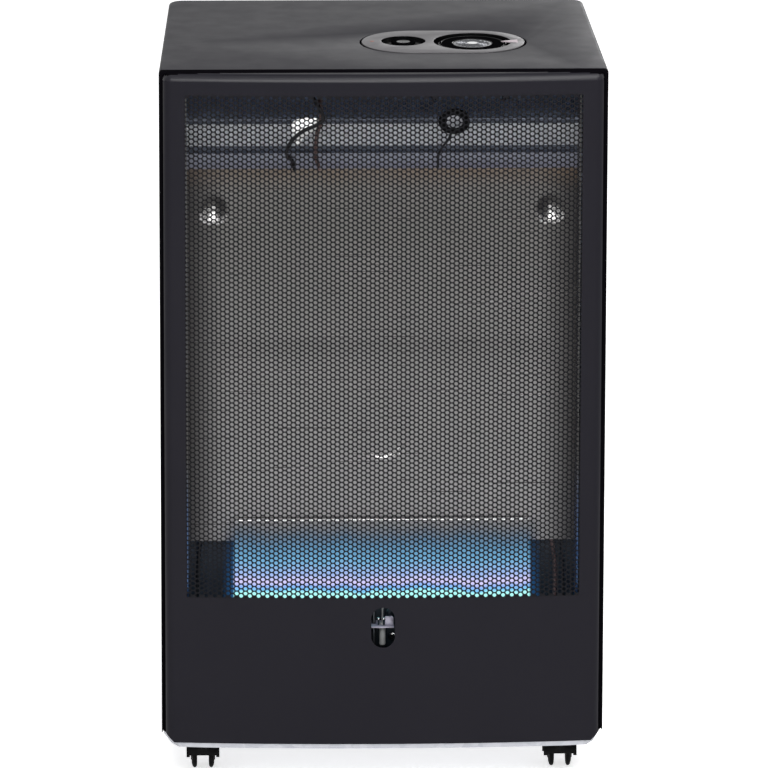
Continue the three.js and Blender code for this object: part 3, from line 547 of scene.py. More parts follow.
@dataclass(frozen=True)
class HeatSteel(Finish):
    """Aluminised steel round a flame: rolling lines, a tint by height, and colours that change towards the
    flame and towards the sides; several finishes use these colours as painted light, painted reflection of
    the flame and painted shade.
    """

    tint: str = "6f5a45"
    tint_low: float = 585.0  # mm, where the tint starts
    tint_high: float = 622.0  # mm, where it is strongest
    low_painted_colour: str = ""  # colour near the flame, if it differs: painted light on the reflector, painted shade on the partition
    low_from: float = 560.0  # mm, height at which it sets in
    low_to: float = 250.0  # mm, height at which it is full
    side_colour: str = ""  # colour towards the sides, if it differs
    side_from: float = 150.0  # mm from the middle
    side_to: float = 190.0

    def shaded(self, tree: Tree, parts: Node) -> Socket | tuple:
        """Change the base colour towards the flame and towards the sides, where the finish says so; near
        the flame this paints light on the reflector and shade on the partition.

        Args:
            tree: the material's tree.
            parts: the node that splits the coordinates.

        Returns:
            The colour, or the socket that gives it.
        """
        base: Socket | tuple = linear(self.colour)
        if self.low_painted_colour:
            near = add_node(tree, "ShaderNodeMapRange", {
                "Value": parts.outputs[2], "From Min": self.low_from * MM, "From Max": self.low_to * MM})
            blend = add_node(tree, "ShaderNodeMix", {"Factor": near.outputs[0]}, data_type="RGBA")
            blend.inputs["A"].default_value = base
            blend.inputs["B"].default_value = linear(self.low_painted_colour)
            base = blend.outputs["Result"]
        if self.side_colour:
            across = add_node(tree, "ShaderNodeMath", {0: parts.outputs[0]}, operation="ABSOLUTE")
            edge = add_node(tree, "ShaderNodeMapRange", {
                "Value": across.outputs[0], "From Min": self.side_from * MM,
                "From Max": self.side_to * MM, "To Min": 0.0, "To Max": 1.0},
                interpolation_type="SMOOTHSTEP")
            blend = add_node(tree, "ShaderNodeMix", {
                "Factor": edge.outputs[0], "A": base, "B": linear(self.side_colour)}, data_type="RGBA")
            base = blend.outputs["Result"]
        return base

    def grain(self, tree: Tree, shader: Node, coordinates: Socket) -> None:
        """Draw the rolling lines across and the tint by height.

        Args:
            tree: the material's tree.
            shader: its Principled node.
            coordinates: where the patterns read.
        """
        stretched = add_node(tree, "ShaderNodeMapping", {
            "Vector": coordinates, "Scale": (9.0, 60.0, 420.0)})
        lines = add_node(tree, "ShaderNodeTexNoise", {
            "Vector": stretched.outputs[0], "Scale": 1.0, "Detail": 4.0})
        parts = add_node(tree, "ShaderNodeSeparateXYZ", {"Vector": coordinates})
        tint_rise = add_node(tree, "ShaderNodeMapRange", {
            "Value": parts.outputs[2], "From Min": self.tint_low * MM, "From Max": self.tint_high * MM,
            "To Min": 0.0, "To Max": 0.75}, interpolation_type="SMOOTHSTEP")
        patches = add_node(tree, "ShaderNodeTexNoise", {
            "Vector": coordinates, "Scale": 11.0, "Detail": 2.0})
        share = add_node(tree, "ShaderNodeMath", {
            0: tint_rise.outputs[0], 1: patches.outputs[0]}, operation="MULTIPLY")
        stronger = add_node(tree, "ShaderNodeMath", {
            0: share.outputs[0], 1: 1.6}, operation="MULTIPLY", use_clamp=True)
        blend = add_node(tree, "ShaderNodeMix", {
            "Factor": stronger.outputs[0], "A": self.shaded(tree, parts), "B": linear(self.tint)},
            data_type="RGBA")
        tree.links.new(blend.outputs["Result"], shader.inputs["Base Color"])
        gloss = add_node(tree, "ShaderNodeMapRange", {
            "Value": lines.outputs[0], "From Min": 0.3, "From Max": 0.7,
            "To Min": self.roughness - 0.06, "To Max": self.roughness + 0.06})
        tree.links.new(gloss.outputs[0], shader.inputs["Roughness"])
        bump(tree, shader, lines.outputs[0], 0.02, 0.25)


@dataclass(frozen=True)
class MouldedPlastic(Finish):
    """Injection moulded plastic with a fine spark-eroded texture."""

    texture: float = 0.9  # mm between its grains
    depth: float = 0.02  # mm

    def grain(self, tree: Tree, shader: Node, coordinates: Socket) -> None:
        """Raise the mould's texture.

        Args:
            tree: the material's tree.
            shader: its Principled node.
            coordinates: where the patterns read.
        """
        vary_roughness(tree, shader, coordinates, 90.0, self.roughness, 0.04)
        grit = add_node(tree, "ShaderNodeTexNoise", {
            "Vector": coordinates, "Scale": 1000 / self.texture, "Detail": 2.0})
        bump(tree, shader, grit.outputs[0], self.depth, 0.4)


@dataclass(frozen=True)
class SpunMetal(Finish):
    """Turned or plated metal: bright, with fine tool marks."""

    marks: float = 0.5  # mm between two marks

    def grain(self, tree: Tree, shader: Node, coordinates: Socket) -> None:
        """Add the tool marks to the gloss and the surface."""
        noise = vary_roughness(tree, shader, coordinates, 1000 / self.marks, self.roughness, 0.05)
        bump(tree, shader, noise.outputs[0], 0.01, 0.2)


@dataclass(frozen=True)
class BlueFlame(Finish):
    """Burning gas over the burner: a clear film of light, bright cyan at its root."""

    root: float = 172.0  # mm, height of the burner's top
    tip: float = 262.0  # mm, where the last glow ends
    half_width: float = 147.5
    fringe: float = 11.0  # mm over which the glow dies away past the burner's ends
    strength: float = 1.0
    fringe_colour: str = "1e4872"  # thin blue past the burner's ends
    waver: float = 4.0  # mm that the bands of colour move up and down
    stops: tuple[tuple[float, str], ...] = (  # colour by height, from root to tip
        (0.0, "a8fff6"), (0.14, "b6fffa"), (0.175, "7cc8f6"), (0.215, "8eb4f4"),
        (0.27, "dcd2fc"), (0.35, "a4bcf0"), (0.5, "78b4dc"), (1.0, "2e4e74"))

    def material(self) -> Material:
        """Make the film once: light by height over a clear shader.

        Returns:
            The finished material.
        """
        known = bpy.data.materials.get(self.name)
        if known is not None:
            return known
        material = bpy.data.materials.new(self.name)
        material.use_nodes = True
        tree = material.node_tree
        tree.nodes.clear()
        coordinates = add_node(tree, "ShaderNodeTexCoord").outputs["Object"]
        parts = add_node(tree, "ShaderNodeSeparateXYZ", {"Vector": coordinates})
        streaks = add_node(tree, "ShaderNodeMapping", {"Vector": coordinates, "Scale": (34.0, 1.0, 9.0)})
        flicker = add_node(tree, "ShaderNodeTexNoise", {
            "Vector": streaks.outputs[0], "Scale": 1.0, "Detail": 2.0})
        shift = add_node(tree, "ShaderNodeMapRange", {
            "Value": flicker.outputs[0], "From Min": 0.25, "From Max": 0.75,
            "To Min": -self.waver * MM, "To Max": self.waver * MM})
        height = add_node(tree, "ShaderNodeMath", {
            0: parts.outputs[2], 1: shift.outputs[0]}, operation="ADD")
        rise = add_node(tree, "ShaderNodeMapRange", {
            "Value": height.outputs[0], "From Min": self.root * MM, "From Max": self.tip * MM})
        colours = add_node(tree, "ShaderNodeValToRGB", {"Fac": rise.outputs[0]})
        ramp = colours.color_ramp.elements
        while len(ramp) < len(self.stops):
            ramp.new(0.5)
        for stop, (where, colour) in zip(ramp, self.stops):
            stop.position = where
            stop.color = linear(colour)
        clear = add_node(tree, "ShaderNodeBsdfTransparent")
        body = add_node(tree, "ShaderNodeMapRange", {
            "Value": rise.outputs[0], "From Min": 0.08, "From Max": 0.95, "To Min": 0.86, "To Max": 0.0},
            interpolation_type="SMOOTHSTEP")
        across = add_node(tree, "ShaderNodeMath", {0: parts.outputs[0]}, operation="ABSOLUTE")
        side = add_node(tree, "ShaderNodeMapRange", {
            "Value": across.outputs[0], "From Min": (self.half_width - 1) * MM,
            "From Max": (self.half_width + self.fringe) * MM, "To Min": 1.0, "To Max": 0.0})
        edge = add_node(tree, "ShaderNodeMapRange", {
            "Value": side.outputs[0], "From Min": 0.82, "From Max": 0.98})
        tinted = add_node(tree, "ShaderNodeMix", {
            "Factor": edge.outputs[0], "A": linear(self.fringe_colour), "B": colours.outputs[0]},
            data_type="RGBA")
        glow = add_node(tree, "ShaderNodeEmission", {
            "Color": tinted.outputs["Result"], "Strength": self.strength})
        thin = add_node(tree, "ShaderNodeMapRange", {
            "Value": edge.outputs[0], "To Min": 0.75, "To Max": 1.0})
        fall = add_node(tree, "ShaderNodeMath", {
            0: side.outputs[0], 1: thin.outputs[0]}, operation="MULTIPLY")
        veil = add_node(tree, "ShaderNodeMath", {
            0: body.outputs[0], 1: fall.outputs[0]}, operation="MULTIPLY")
        film = add_node(tree, "ShaderNodeMixShader", {
            0: veil.outputs[0], 1: clear.outputs[0], 2: glow.outputs[0]})
        add_node(tree, "ShaderNodeOutputMaterial", {"Surface": film.outputs[0]})
        return material


class Finishes(Enum):
    """Every finish of the heater."""

    # Satin anthracite powder on front and lid: nearly black, a little violet, soft gloss.
    CASE = PowderCoat("satin_powder_coat", "15141a", 0.45, specular=0.08, second="19181e")
    # The same powder on the rolled top edge: glossier, and a shade lighter so that it paints a highlight
    # line.
    ROLLED = PowderCoat("glossy_rolled_edge", "17161c", 0.3, specular=0.2, second="1b1a20")
    # The same powder on the perforated field, which reads a little flatter between the holes.
    FIELD = PowderCoat("perforated_powder_coat", "08080c", 0.5, specular=0.1, second="0b0b10")
    # Deeper black powder on sides and back cover: drier than the front.
    SIDES = PowderCoat("black_powder_coat", "09090c", 0.55, specular=0.15, second="0c0c0f")
    # Black with no gloss at all in the seams and returns: painted shade, so that the seams read black.
    SEAM = PowderCoat("matt_black_edge", "09080b", 0.8, specular=0.0, second="0a090c")
    # Zinc-coated tray and brackets: pale, with small crystals.
    ZINC = Galvanised("spangled_zinc_sheet", "b6b7bd", 0.5, 0.4, second="a8aab1", specular=0.25)
    # Aluminised reflector: grey, dull, straw tinted at the top, lighter low down towards the flame as
    # painted light, and darker towards the sides.
    REFLECTOR = HeatSteel("aluminised_steel", "716f6d", 0.32, 0.7, low_painted_colour="9c9a9b",
                          side_colour="3c3a39", side_from=150, side_to=196)
    # The cheeks beside the flame: the same sheet, blue low down as a painted reflection of the flame.
    CHEEK = HeatSteel("blued_cheek_steel", "6d6c6b", 0.35, 0.7,
                      tint="3f86d8", tint_low=330, tint_high=230)
    # Patches on the lower slopes of the dimples and the round pressing: glossier steel that catches the
    # lamps, lighter in colour as a painted highlight.
    POLISHED = SpunMetal("press_polished_steel", "b4b3b2", 0.24, 0.9)
    # Near-white sheet of the deflector's slope: its lightness is painted reflection of the flame and of the
    # lit floor.
    BRIGHT = HeatSteel("bright_steel_sheet", "f2f5fb", 0.45, 0.08,
                       tint="aeb4c4", tint_low=668, tint_high=690)
    # The deflector's upright foot: the same sheet, tempered grey-violet by the heat.
    FOOT = HeatSteel("tempered_steel_foot", "808390", 0.42, 0.4,
                     tint="5c5a6c", tint_low=628, tint_high=612)
    # The deflector's fold and hem: the same sheet again, a dull darker grey that paints the shade in the
    # channel and on the hem.
    FOLD = HeatSteel("scorched_steel_fold", "687080", 0.5, 0.2,
                     tint="4a4f5c", tint_low=640, tint_high=700)
    # Partition behind the firebox: blue-grey, painted pale above as light where the lid shades it, painted
    # dark beside the flame as shade, and darker again at its very top.
    LINER = HeatSteel("oxidised_steel", "b4c0dc", 0.55, 0.1, tint="3a3d47", tint_low=700,
                      tint_high=730, low_painted_colour="29333f", low_from=600, low_to=330)
    # Blue-black dull steel round and above the flame: painted shade for the dark inside of the firebox.
    SCALED = HeatSteel("scaled_steel", "1b252d", 0.55, 0.5, tint="14161b")
    # Rolled edge of the burner's rear plate: smooth metal, light in colour, that paints a highlight line
    # along the plate's top.
    EDGE = SpunMetal("worn_bright_edge", "e6e6e6", 0.25, 0.9)
    # Bezel: warm grey ABS with a spark-eroded texture.
    BEZEL = MouldedPlastic("warm_grey_abs", "3c3a3d", 0.42)
    # Wells, knob and button: black ABS, moulded glossy.
    GLOSS_BLACK = MouldedPlastic("gloss_black_abs", "050506", 0.22, specular=0.35,
                                 texture=1.4, depth=0.005)
    # Faces of knob and button: the same plastic, etched so matt that it reads black.
    MATT_BLACK = MouldedPlastic("matt_black_abs", "070708", 0.6, specular=0.0, texture=1.2)
    # Casters: black nylon, dry and matt.
    NYLON = MouldedPlastic("black_nylon", "040405", 0.5, specular=0.08)
    # Treads: hard black rubber.
    TREAD = MouldedPlastic("hard_rubber", "040404", 0.65, specular=0.08, texture=1.2)
    # Knob cap, clip and screws: nickel-chrome plate.
    CHROME = SpunMetal("bright_nickel_chrome", "e2e3e4", 0.14, 1.0)
    # Satin nickel of the small arched plate over the deflector: nearly white, a colour that also paints the
    # highlight on it.
    NICKEL = SpunMetal("satin_nickel_plate", "fdfdfd", 0.3, 0.4, specular=1.0)
    # The knob cap's cut face: the same plating, greyed by its fine pyramids.
    CUT_CHROME = SpunMetal("cut_chrome_plate", "5c5d60", 0.3, 1.0)
    # Turned brass of jet, spindle and inlet.
    BRASS = SpunMetal("turned_brass", "b8934e", 0.3, 1.0)
    # Drawn copper of the thermocouple's lead.
    COPPER = SpunMetal("drawn_copper", "6d5754", 0.6, 0.3)
    # Steel tube of the thermocouple and pilot: grey, dulled by heat.
    STAINLESS = SpunMetal("dulled_stainless", "44474b", 0.4, 0.9)
    # Die-cast valve body: pale and grainy.
    CAST = SpunMetal("die_cast_alloy", "b9b9b6", 0.45, 0.9, marks=1.0)
    # Electrode's insulator: unglazed alumina, light grey.
    CERAMIC = MouldedPlastic("alumina", "9a9c9c", 0.55, texture=0.8)
    # Sleeves of pipe and lead: black silicone.
    SLEEVE = MouldedPlastic("black_silicone", "0b0b0d", 0.5, specular=0.3)
    # Flame film.
    FLAME = BlueFlame("blue_flame", "7ff4ff")
    # Pale pointer beside the knob.
    POINTER = MouldedPlastic("pale_print", "a2979c", 0.5, specular=0.2)
    # Small reddish mark beside the button.
    MARK = MouldedPlastic("red_brown_print", "7c564c", 0.5, specular=0.2)
    # The tab behind the pilot: sheet tempered lavender.
    TAB = Galvanised("tempered_zinc_tab", "aaa8b6", 0.5, 0.3, second="9c99aa")

    def dress(self, made: Piece) -> Piece:
        """Give an object this finish alone."""
        made.data.materials.clear()
        made.data.materials.append(self.value.material())
        return made


def finish_piece(
    made: Piece,
    finish: Finishes,
    body: str,
    slot: str,
    *nodes: str,
    shade: float | None = 32.0,
) -> Piece:
    """Dress a piece, let it ride on its body and stand for CAD nodes.

    Args:
        made: the piece.
        finish: what it is made of.
        body: the body that it moves with.
        slot: the record's material slot; not used.
        *nodes: the CAD nodes that it replaces.
        shade: angle of smooth shading in degrees, or None to leave the shading.

    Returns:
        The piece.
    """
    if shade is not None:
        smoothed(made, shade)
    finish.dress(made)
    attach(made, body)
    if nodes:
        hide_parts(*nodes)
    LOG.info("%s: %d faces on %s", made.name, len(made.data.polygons), body)
    return made


def soft_copy(name: str, node: Piece, width: float, segments: int = 2) -> Piece:
    """Copy a CAD node as one clean mesh with rounded edges.

    Args:
        name: the copy's name.
        node: the CAD node's object.
        width: width of the rounding in millimetres.
        segments: faces across it.

    Returns:
        The copy.
    """
    work = bmesh.new()
    work.from_mesh(node.data)
    bmesh.ops.remove_doubles(work, verts=work.verts, dist=2e-6)
    bmesh.ops.dissolve_limit(work, angle_limit=math.radians(1.5), verts=work.verts, edges=work.edges)
    mesh = bpy.data.meshes.new(name)
    work.to_mesh(mesh)
    work.free()
    copy = bpy.data.objects.new(name, mesh)
    bpy.context.scene.collection.objects.link(copy)
    return bevelled(copy, width, segments) if width > 0 else copy


# ------------------------------------------------------------------ case
@dataclass
class PerforatedField:
    """The staggered field of round holes in the front panel, made by a node tree."""

    columns: int = 90
    rows: int = 104
    column_pitch: float = 4.33
    row_pitch: float = 4.886
    hole_radius: float = 2.0
    hole_sides: int = 12
    sheet: float = 0.8
    bottom: float = 192.8
    parts: int = 3

    @property
    def half_width(self) -> float:
        """Half the field's width."""
        return self.columns * self.column_pitch / 2

    @property
    def top(self) -> float:
        """Height of the field's upper edge."""
        return self.bottom + (self.rows + 0.5) * self.row_pitch

    def column_edge(self, number: int) -> float:
        """Return where a column starts."""
        return number * self.column_pitch - self.half_width

    def cell(self, name: str, half: bool) -> Piece:
        """Make the flat cell round one hole, or the plain half cell that ends a column.

        Args:
            name: the cell's name.
            half: whether it is the half cell.

        Returns:
            The cell, facing forwards.
        """
        w, h = self.column_pitch / 2, self.row_pitch / 2
        if half:
            corners = [(-w, 0), (w, 0), (w, h), (-w, h)]
            faces: list[Face] = [(0, 1, 2, 3)]
            points = [(u, 0.0, v) for u, v in corners]
        else:
            rim = [(w, 0), (w, h), (-w, h), (-w, 0), (-w, -h), (w, -h)]
            turns = [2 * math.pi * i / self.hole_sides for i in range(self.hole_sides)]
            hole = [(self.hole_radius * math.cos(a), self.hole_radius * math.sin(a)) for a in turns]
            points = [(u, 0.0, v) for u, v in rim + hole]
            faces = self.ring_faces(rim, hole)
        mesh = bpy.data.meshes.new(name)
        mesh.from_pydata([Vector(p) * MM for p in points], [], [list(f) for f in faces])
        for face in mesh.polygons:
            if face.normal.y > 0:
                face.flip()
        mesh.update()
        made = bpy.data.objects.new(name, mesh)
        bpy.context.scene.collection.objects.link(made)
        return made

    @staticmethod
    def ring_faces(rim: Sequence[Pair], hole: Sequence[Pair]) -> list[Face]:
        """Join a hole to the rim of its cell with triangles, corner by corner round the ring.

        Args:
            rim: the cell's corners.
            hole: the hole's corners, which are numbered after the rim's.

        Returns:
            Three corner numbers for each face.
        """
        count, sides = len(rim), len(hole)
        angle = [math.atan2(v, u) % (2 * math.pi) for u, v in rim]
        faces: list[Face] = []
        r = 0
        for i in range(sides):
            middle = 2 * math.pi * (i + 0.5) / sides
            while r < count - 1 and angle[r + 1] <= middle + 1e-9:
                faces.append((r, r + 1, count + i))
                r += 1
            faces.append((r, count + (i + 1) % sides, count + i))
        while r < count:
            faces.append((r, (r + 1) % count, count))
            r += 1
        return faces

    def tree(self, cell: Piece, end: Piece) -> tuple[Tree, dict[str, str]]:
        """Build the node tree.

        Args:
            cell: the cell round one hole.
            end: the plain half cell.

        Returns:
            The tree, and the identifier of each named input.
        """
        tree = bpy.data.node_groups.new("perforated_field", "GeometryNodeTree")
        tree.interface.new_socket("Geometry", in_out="OUTPUT", socket_type="NodeSocketGeometry")
        ids = {}
        sizes = ("Column Pitch", "Row Pitch", "Left Edge", "Bottom", "Sheet", "Bow",
                 "Bow Half Width", "Front")
        kinds = [(name, "Int") for name in ("Columns", "Rows", "First Column")]
        kinds += [(name, "Float") for name in sizes]
        for name, kind in (*kinds, ("Finish", "Material")):
            socket = tree.interface.new_socket(name, in_out="INPUT", socket_type=f"NodeSocket{kind}")
            ids[name] = socket.identifier
        give = add_node(tree, "NodeGroupInput").outputs

        def maths(operation: str, a: object, b: object) -> Socket:
            """Join two numbers or sockets by an operation."""
            return add_node(tree, "ShaderNodeMath", {0: a, 1: b}, operation=operation).outputs[0]

        def field_of(source: Piece, rows: object) -> Socket:
            """Place copies of a cell at a grid of points, whose columns are staggered.

            Args:
                source: the cell.
                rows: copies in a column.

            Returns:
                The copies.
            """
            grid = add_node(tree, "GeometryNodeMeshGrid", {
                "Size X": 1.0, "Size Y": 1.0, "Vertices X": give["Columns"], "Vertices Y": rows})
            number = add_node(tree, "GeometryNodeInputIndex").outputs[0]
            column = maths("FLOOR", maths("DIVIDE", number, rows), 0.0)
            row = maths("MODULO", number, rows)
            odd = maths("MODULO", maths("ADD", column, give["First Column"]), 2.0)
            x = maths("MULTIPLY_ADD", column, give["Column Pitch"])
            add = x.node.inputs[2]
            half_column = maths("MULTIPLY", give["Column Pitch"], 0.5)
            tree.links.new(maths("ADD", give["Left Edge"], half_column), add)
            half = maths("MULTIPLY", give["Row Pitch"], 0.5)
            if source is cell:
                stagger = maths("ADD", half, maths("MULTIPLY", odd, half))
                lift = maths("ADD", maths("MULTIPLY", row, give["Row Pitch"]), stagger)
            else:
                even = maths("SUBTRACT", 1.0, odd)
                lift = maths("MULTIPLY", even, maths("MULTIPLY", give["Rows"], give["Row Pitch"]))
            z = maths("ADD", give["Bottom"], lift)
            put = add_node(tree, "ShaderNodeCombineXYZ", {0: x, 1: 0.0, 2: z}).outputs[0]
            moved = add_node(tree, "GeometryNodeSetPosition", {
                "Geometry": grid.outputs[0], "Position": put}).outputs[0]
            info = add_node(tree, "GeometryNodeObjectInfo", {"Object": source})
            return add_node(tree, "GeometryNodeInstanceOnPoints", {
                "Points": moved, "Instance": info.outputs["Geometry"]}).outputs[0]

        cells = field_of(cell, give["Rows"])
        ends = field_of(end, 1)
        both = add_node(tree, "GeometryNodeJoinGeometry")
        tree.links.new(cells, both.inputs[0])
        tree.links.new(ends, both.inputs[0])
        real = add_node(tree, "GeometryNodeRealizeInstances", {"Geometry": both.outputs[0]})
        welded = add_node(tree, "GeometryNodeMergeByDistance", {
            "Geometry": real.outputs[0], "Distance": 1e-5}).outputs[0]
        inwards = add_node(tree, "ShaderNodeCombineXYZ", {0: 0.0, 1: give["Sheet"], 2: 0.0}).outputs[0]
        back = add_node(tree, "GeometryNodeSetPosition", {
            "Geometry": welded, "Offset": inwards}).outputs[0]
        forwards = add_node(tree, "ShaderNodeVectorMath", {
            0: inwards, "Scale": -1.0}, operation="SCALE").outputs[0]
        walls = add_node(tree, "GeometryNodeExtrudeMesh", {
            "Mesh": back, "Offset": forwards, "Offset Scale": 1.0, "Individual": False},
            mode="FACES").outputs[0]
        floor = add_node(tree, "GeometryNodeFlipFaces", {"Mesh": back}).outputs[0]
        shell = add_node(tree, "GeometryNodeJoinGeometry")
        tree.links.new(walls, shell.inputs[0])
        tree.links.new(floor, shell.inputs[0])
        closed = add_node(tree, "GeometryNodeMergeByDistance", {
            "Geometry": shell.outputs[0], "Distance": 1e-5}).outputs[0]
        spot = add_node(tree, "GeometryNodeInputPosition").outputs[0]
        across = add_node(tree, "ShaderNodeSeparateXYZ", {0: spot}).outputs[0]
        share = maths("DIVIDE", across, give["Bow Half Width"])
        fall = maths("SUBTRACT", 1.0, maths("MULTIPLY", share, share))
        reach = maths("SUBTRACT", give["Front"], maths("MULTIPLY", give["Bow"], fall))
        bowed = add_node(tree, "ShaderNodeCombineXYZ", {0: 0.0, 1: reach, 2: 0.0}).outputs[0]
        bent = add_node(tree, "GeometryNodeSetPosition", {"Geometry": closed, "Offset": bowed}).outputs[0]
        flat = add_node(tree, "GeometryNodeSetShadeSmooth", {
            "Geometry": bent, "Shade Smooth": False}).outputs[0]
        dressed = add_node(tree, "GeometryNodeSetMaterial", {
            "Geometry": flat, "Material": give["Finish"]}).outputs[0]
        add_node(tree, "NodeGroupOutput", {0: dressed})
        return tree, ids

    def build(self, bow: float, bow_half_width: float) -> list[Piece]:
        """Make the field in parts, so that each stays small enough.

        Args:
            bow: how far the middle of the panel stands forward.
            bow_half_width: where the bow has fallen to nothing.

        Returns:
            One object for each part.
        """
        cell = self.cell("hole_cell", False)
        end = self.cell("end_cell", True)
        tree, ids = self.tree(cell, end)
        made = []
        share = self.columns // self.parts
        for number in range(self.parts):
            part = bpy.data.objects.new(f"perforated_field_{number + 1}", bpy.data.meshes.new("field"))
            bpy.context.scene.collection.objects.link(part)
            grow = part.modifiers.new("field", "NODES")
            grow.node_group = tree
            first = number * share
            settings = {
                "Columns": share, "Rows": self.rows, "First Column": first,
                "Column Pitch": self.column_pitch * MM, "Row Pitch": self.row_pitch * MM,
                "Left Edge": self.column_edge(first) * MM, "Bottom": self.bottom * MM,
                "Sheet": self.sheet * MM, "Bow": bow * MM, "Bow Half Width": bow_half_width * MM,
                "Front": -FRONT_TO_MIDDLE * MM, "Finish": Finishes.FIELD.value.material()}
            for name, value in settings.items():
                grow[ids[name]] = value
            made.append(settled(part))
        bpy.data.objects.remove(cell)
        bpy.data.objects.remove(end)
        return made


@dataclass
class FrontPanel:
    """The pressed front: a bowed face, rolled top and sides, a window for the holes and a sight slot."""

    half_width: float = 216.5
    bottom: float = 42.0
    top: float = 724.0
    bow: float = 10.0
    roll: float = 9.0
    sheet: float = 0.8
    side_depth: float = 14.0
    top_depth: float = 10.4
    shade_start_depth: float = 3.6  # the top return is dressed in painted seam shade past this depth
    lower_corner: float = 9.0
    slot_width: float = 23.5
    slot_low: float = 142.0
    slot_high: float = 183.5
    roll_steps: int = 8
    perforations: PerforatedField = field(default_factory=PerforatedField)

    def bowed(self, x: float) -> float:
        """Return how far the face stands forward at x."""
        return self.bow * max(0.0, 1 - (x / self.half_width) ** 2)

    def stations(self) -> tuple[list[float], list[float]]:
        """Space the face's grid lines.

        Returns:
            Their x values and their z values.
        """
        holes = self.perforations
        inner = self.half_width - self.roll
        xs = [-inner, -(inner + holes.half_width) / 2]
        xs += [holes.column_edge(i) for i in range(holes.columns + 1)]
        xs += [(inner + holes.half_width) / 2, inner]
        step = (holes.bottom - self.bottom) / 8
        zs = [self.bottom + step * i for i in range(8)]
        rise = (holes.top - holes.bottom) / 10
        zs += [holes.bottom + rise * i for i in range(11)]
        zs += [(holes.top + self.top - self.roll) / 2, self.top - self.roll]
        return xs, zs

    def ring(self, inset: float, xs: Sequence[float], zs: Sequence[float]) -> list[Pair]:
        """Return the line along left side, top and right side, moved in from the edge.

        Args:
            inset: how far it is moved in.
            xs: where it has points along the top.
            zs: where it has points along the sides.

        Returns:
            The line's points.
        """
        reach = self.half_width - inset
        radius = self.roll - inset
        cx, cz = self.half_width - self.roll, self.top - self.roll
        line = [(-reach, z) for z in zs]
        turns = quarter(8, 1)[:-1]
        line += [(-cx - radius * math.cos(a), cz + radius * math.sin(a)) for a in turns]
        line += [(x, self.top - inset) for x in xs]
        line += [(cx + radius * math.sin(a), cz + radius * math.cos(a)) for a in turns]
        return line + [(reach, z) for z in reversed(zs)]

    def raised(self, x: float, z: float) -> float:
        """Return z, raised where the slanted lower corner leaves the panel shorter."""
        share = max(0.0, abs(x) - (self.half_width - self.lower_corner)) / self.lower_corner
        return max(z, self.bottom + self.lower_corner * share * (0.85 + 0.15 * share))

    def skin(self) -> Piece:
        """Make the panel's outer face, with the window left out.

        Returns:
            The face as a sheet without thickness.
        """
        xs, zs = self.stations()
        holes = self.perforations
        points: list[Point] = [(x, -self.bowed(x), z) for z in zs for x in xs]
        width = len(xs)
        faces: list[Face] = []
        for j in range(len(zs) - 1):
            for i in range(width - 1):
                in_window = (abs((xs[i] + xs[i + 1]) / 2) < holes.half_width
                             and holes.bottom < (zs[j] + zs[j + 1]) / 2 < holes.top)
                if not in_window:
                    k = j * width + i
                    faces.append((k, k + 1, k + width + 1, k + width))
        rings = []
        for step in range(self.roll_steps, -1, -1):
            angle = math.pi / 2 * step / self.roll_steps
            inset = self.roll * (1 - math.cos(angle))
            depth = self.roll * (1 - math.sin(angle))
            rings.append([(x, depth - self.bowed(x), self.raised(x, z))
                          for x, z in self.ring(inset, xs, zs)])
        flat_top = self.top - self.roll
        rings.append([(x, max(y, self.shade_start_depth), z) for x, y, z in rings[-1]])
        rings.append([(x, self.top_depth if z > flat_top + 0.01 else self.side_depth, self.raised(x, z))
                      for x, z in self.ring(0, xs, zs)])
        for one, two in zip(rings, rings[1:]):
            start, count = len(points), len(one)
            points += one + two
            faces += band(start, start + count, count, closed=False)
        return mesh_object("front_panel_skin", points, faces)

    def build(self) -> None:
        """Make the skin and the field of holes."""
        skin = self.skin()
        inwards = skin.data.polygons[0].normal.y > 0
        if inwards:
            skin.data.flip_normals()
        thick = skin.modifiers.new("sheet", "SOLIDIFY")
        thick.thickness = self.sheet * MM
        thick.offset = -1
        thick.use_even_offset = False
        settled(skin)
        middle = (self.slot_low + self.slot_high) / 2
        length = self.slot_high - self.slot_low
        slot_outline = stadium((0, middle), length, self.slot_width, 24, upright=True)
        carved(skin, prism("slot_cutter", slot_outline, -40, 40, "xz"))
        finish_piece(skin, Finishes.CASE, "cabinet", "case_paint", "front_panel", shade=40)
        # The back of the top return and the side returns get the painted seam shade; the upper faces of the
        # roll get the painted highlight line.
        skin.data.materials.append(Finishes.SEAM.value.material())
        skin.data.materials.append(Finishes.ROLLED.value.material())
        for face in skin.data.polygons:
            depth = face.center.y / MM + FRONT_TO_MIDDLE
            in_seam = depth > (self.shade_start_depth if face.normal.z > 0.7 else self.roll + 1)
            if in_seam or face.normal.x > 0.8 or face.normal.x < -0.95:
                face.material_index = 1
            elif face.center.z > (self.top - self.roll) * MM and 0.2 < face.normal.z < 0.85:
                face.material_index = 2
        parts = self.perforations.build(self.bow, self.half_width)
        for part in parts:
            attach(part, "cabinet")
            LOG.info("%s: %d faces", part.name, len(part.data.polygons))
        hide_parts("guard_mesh")


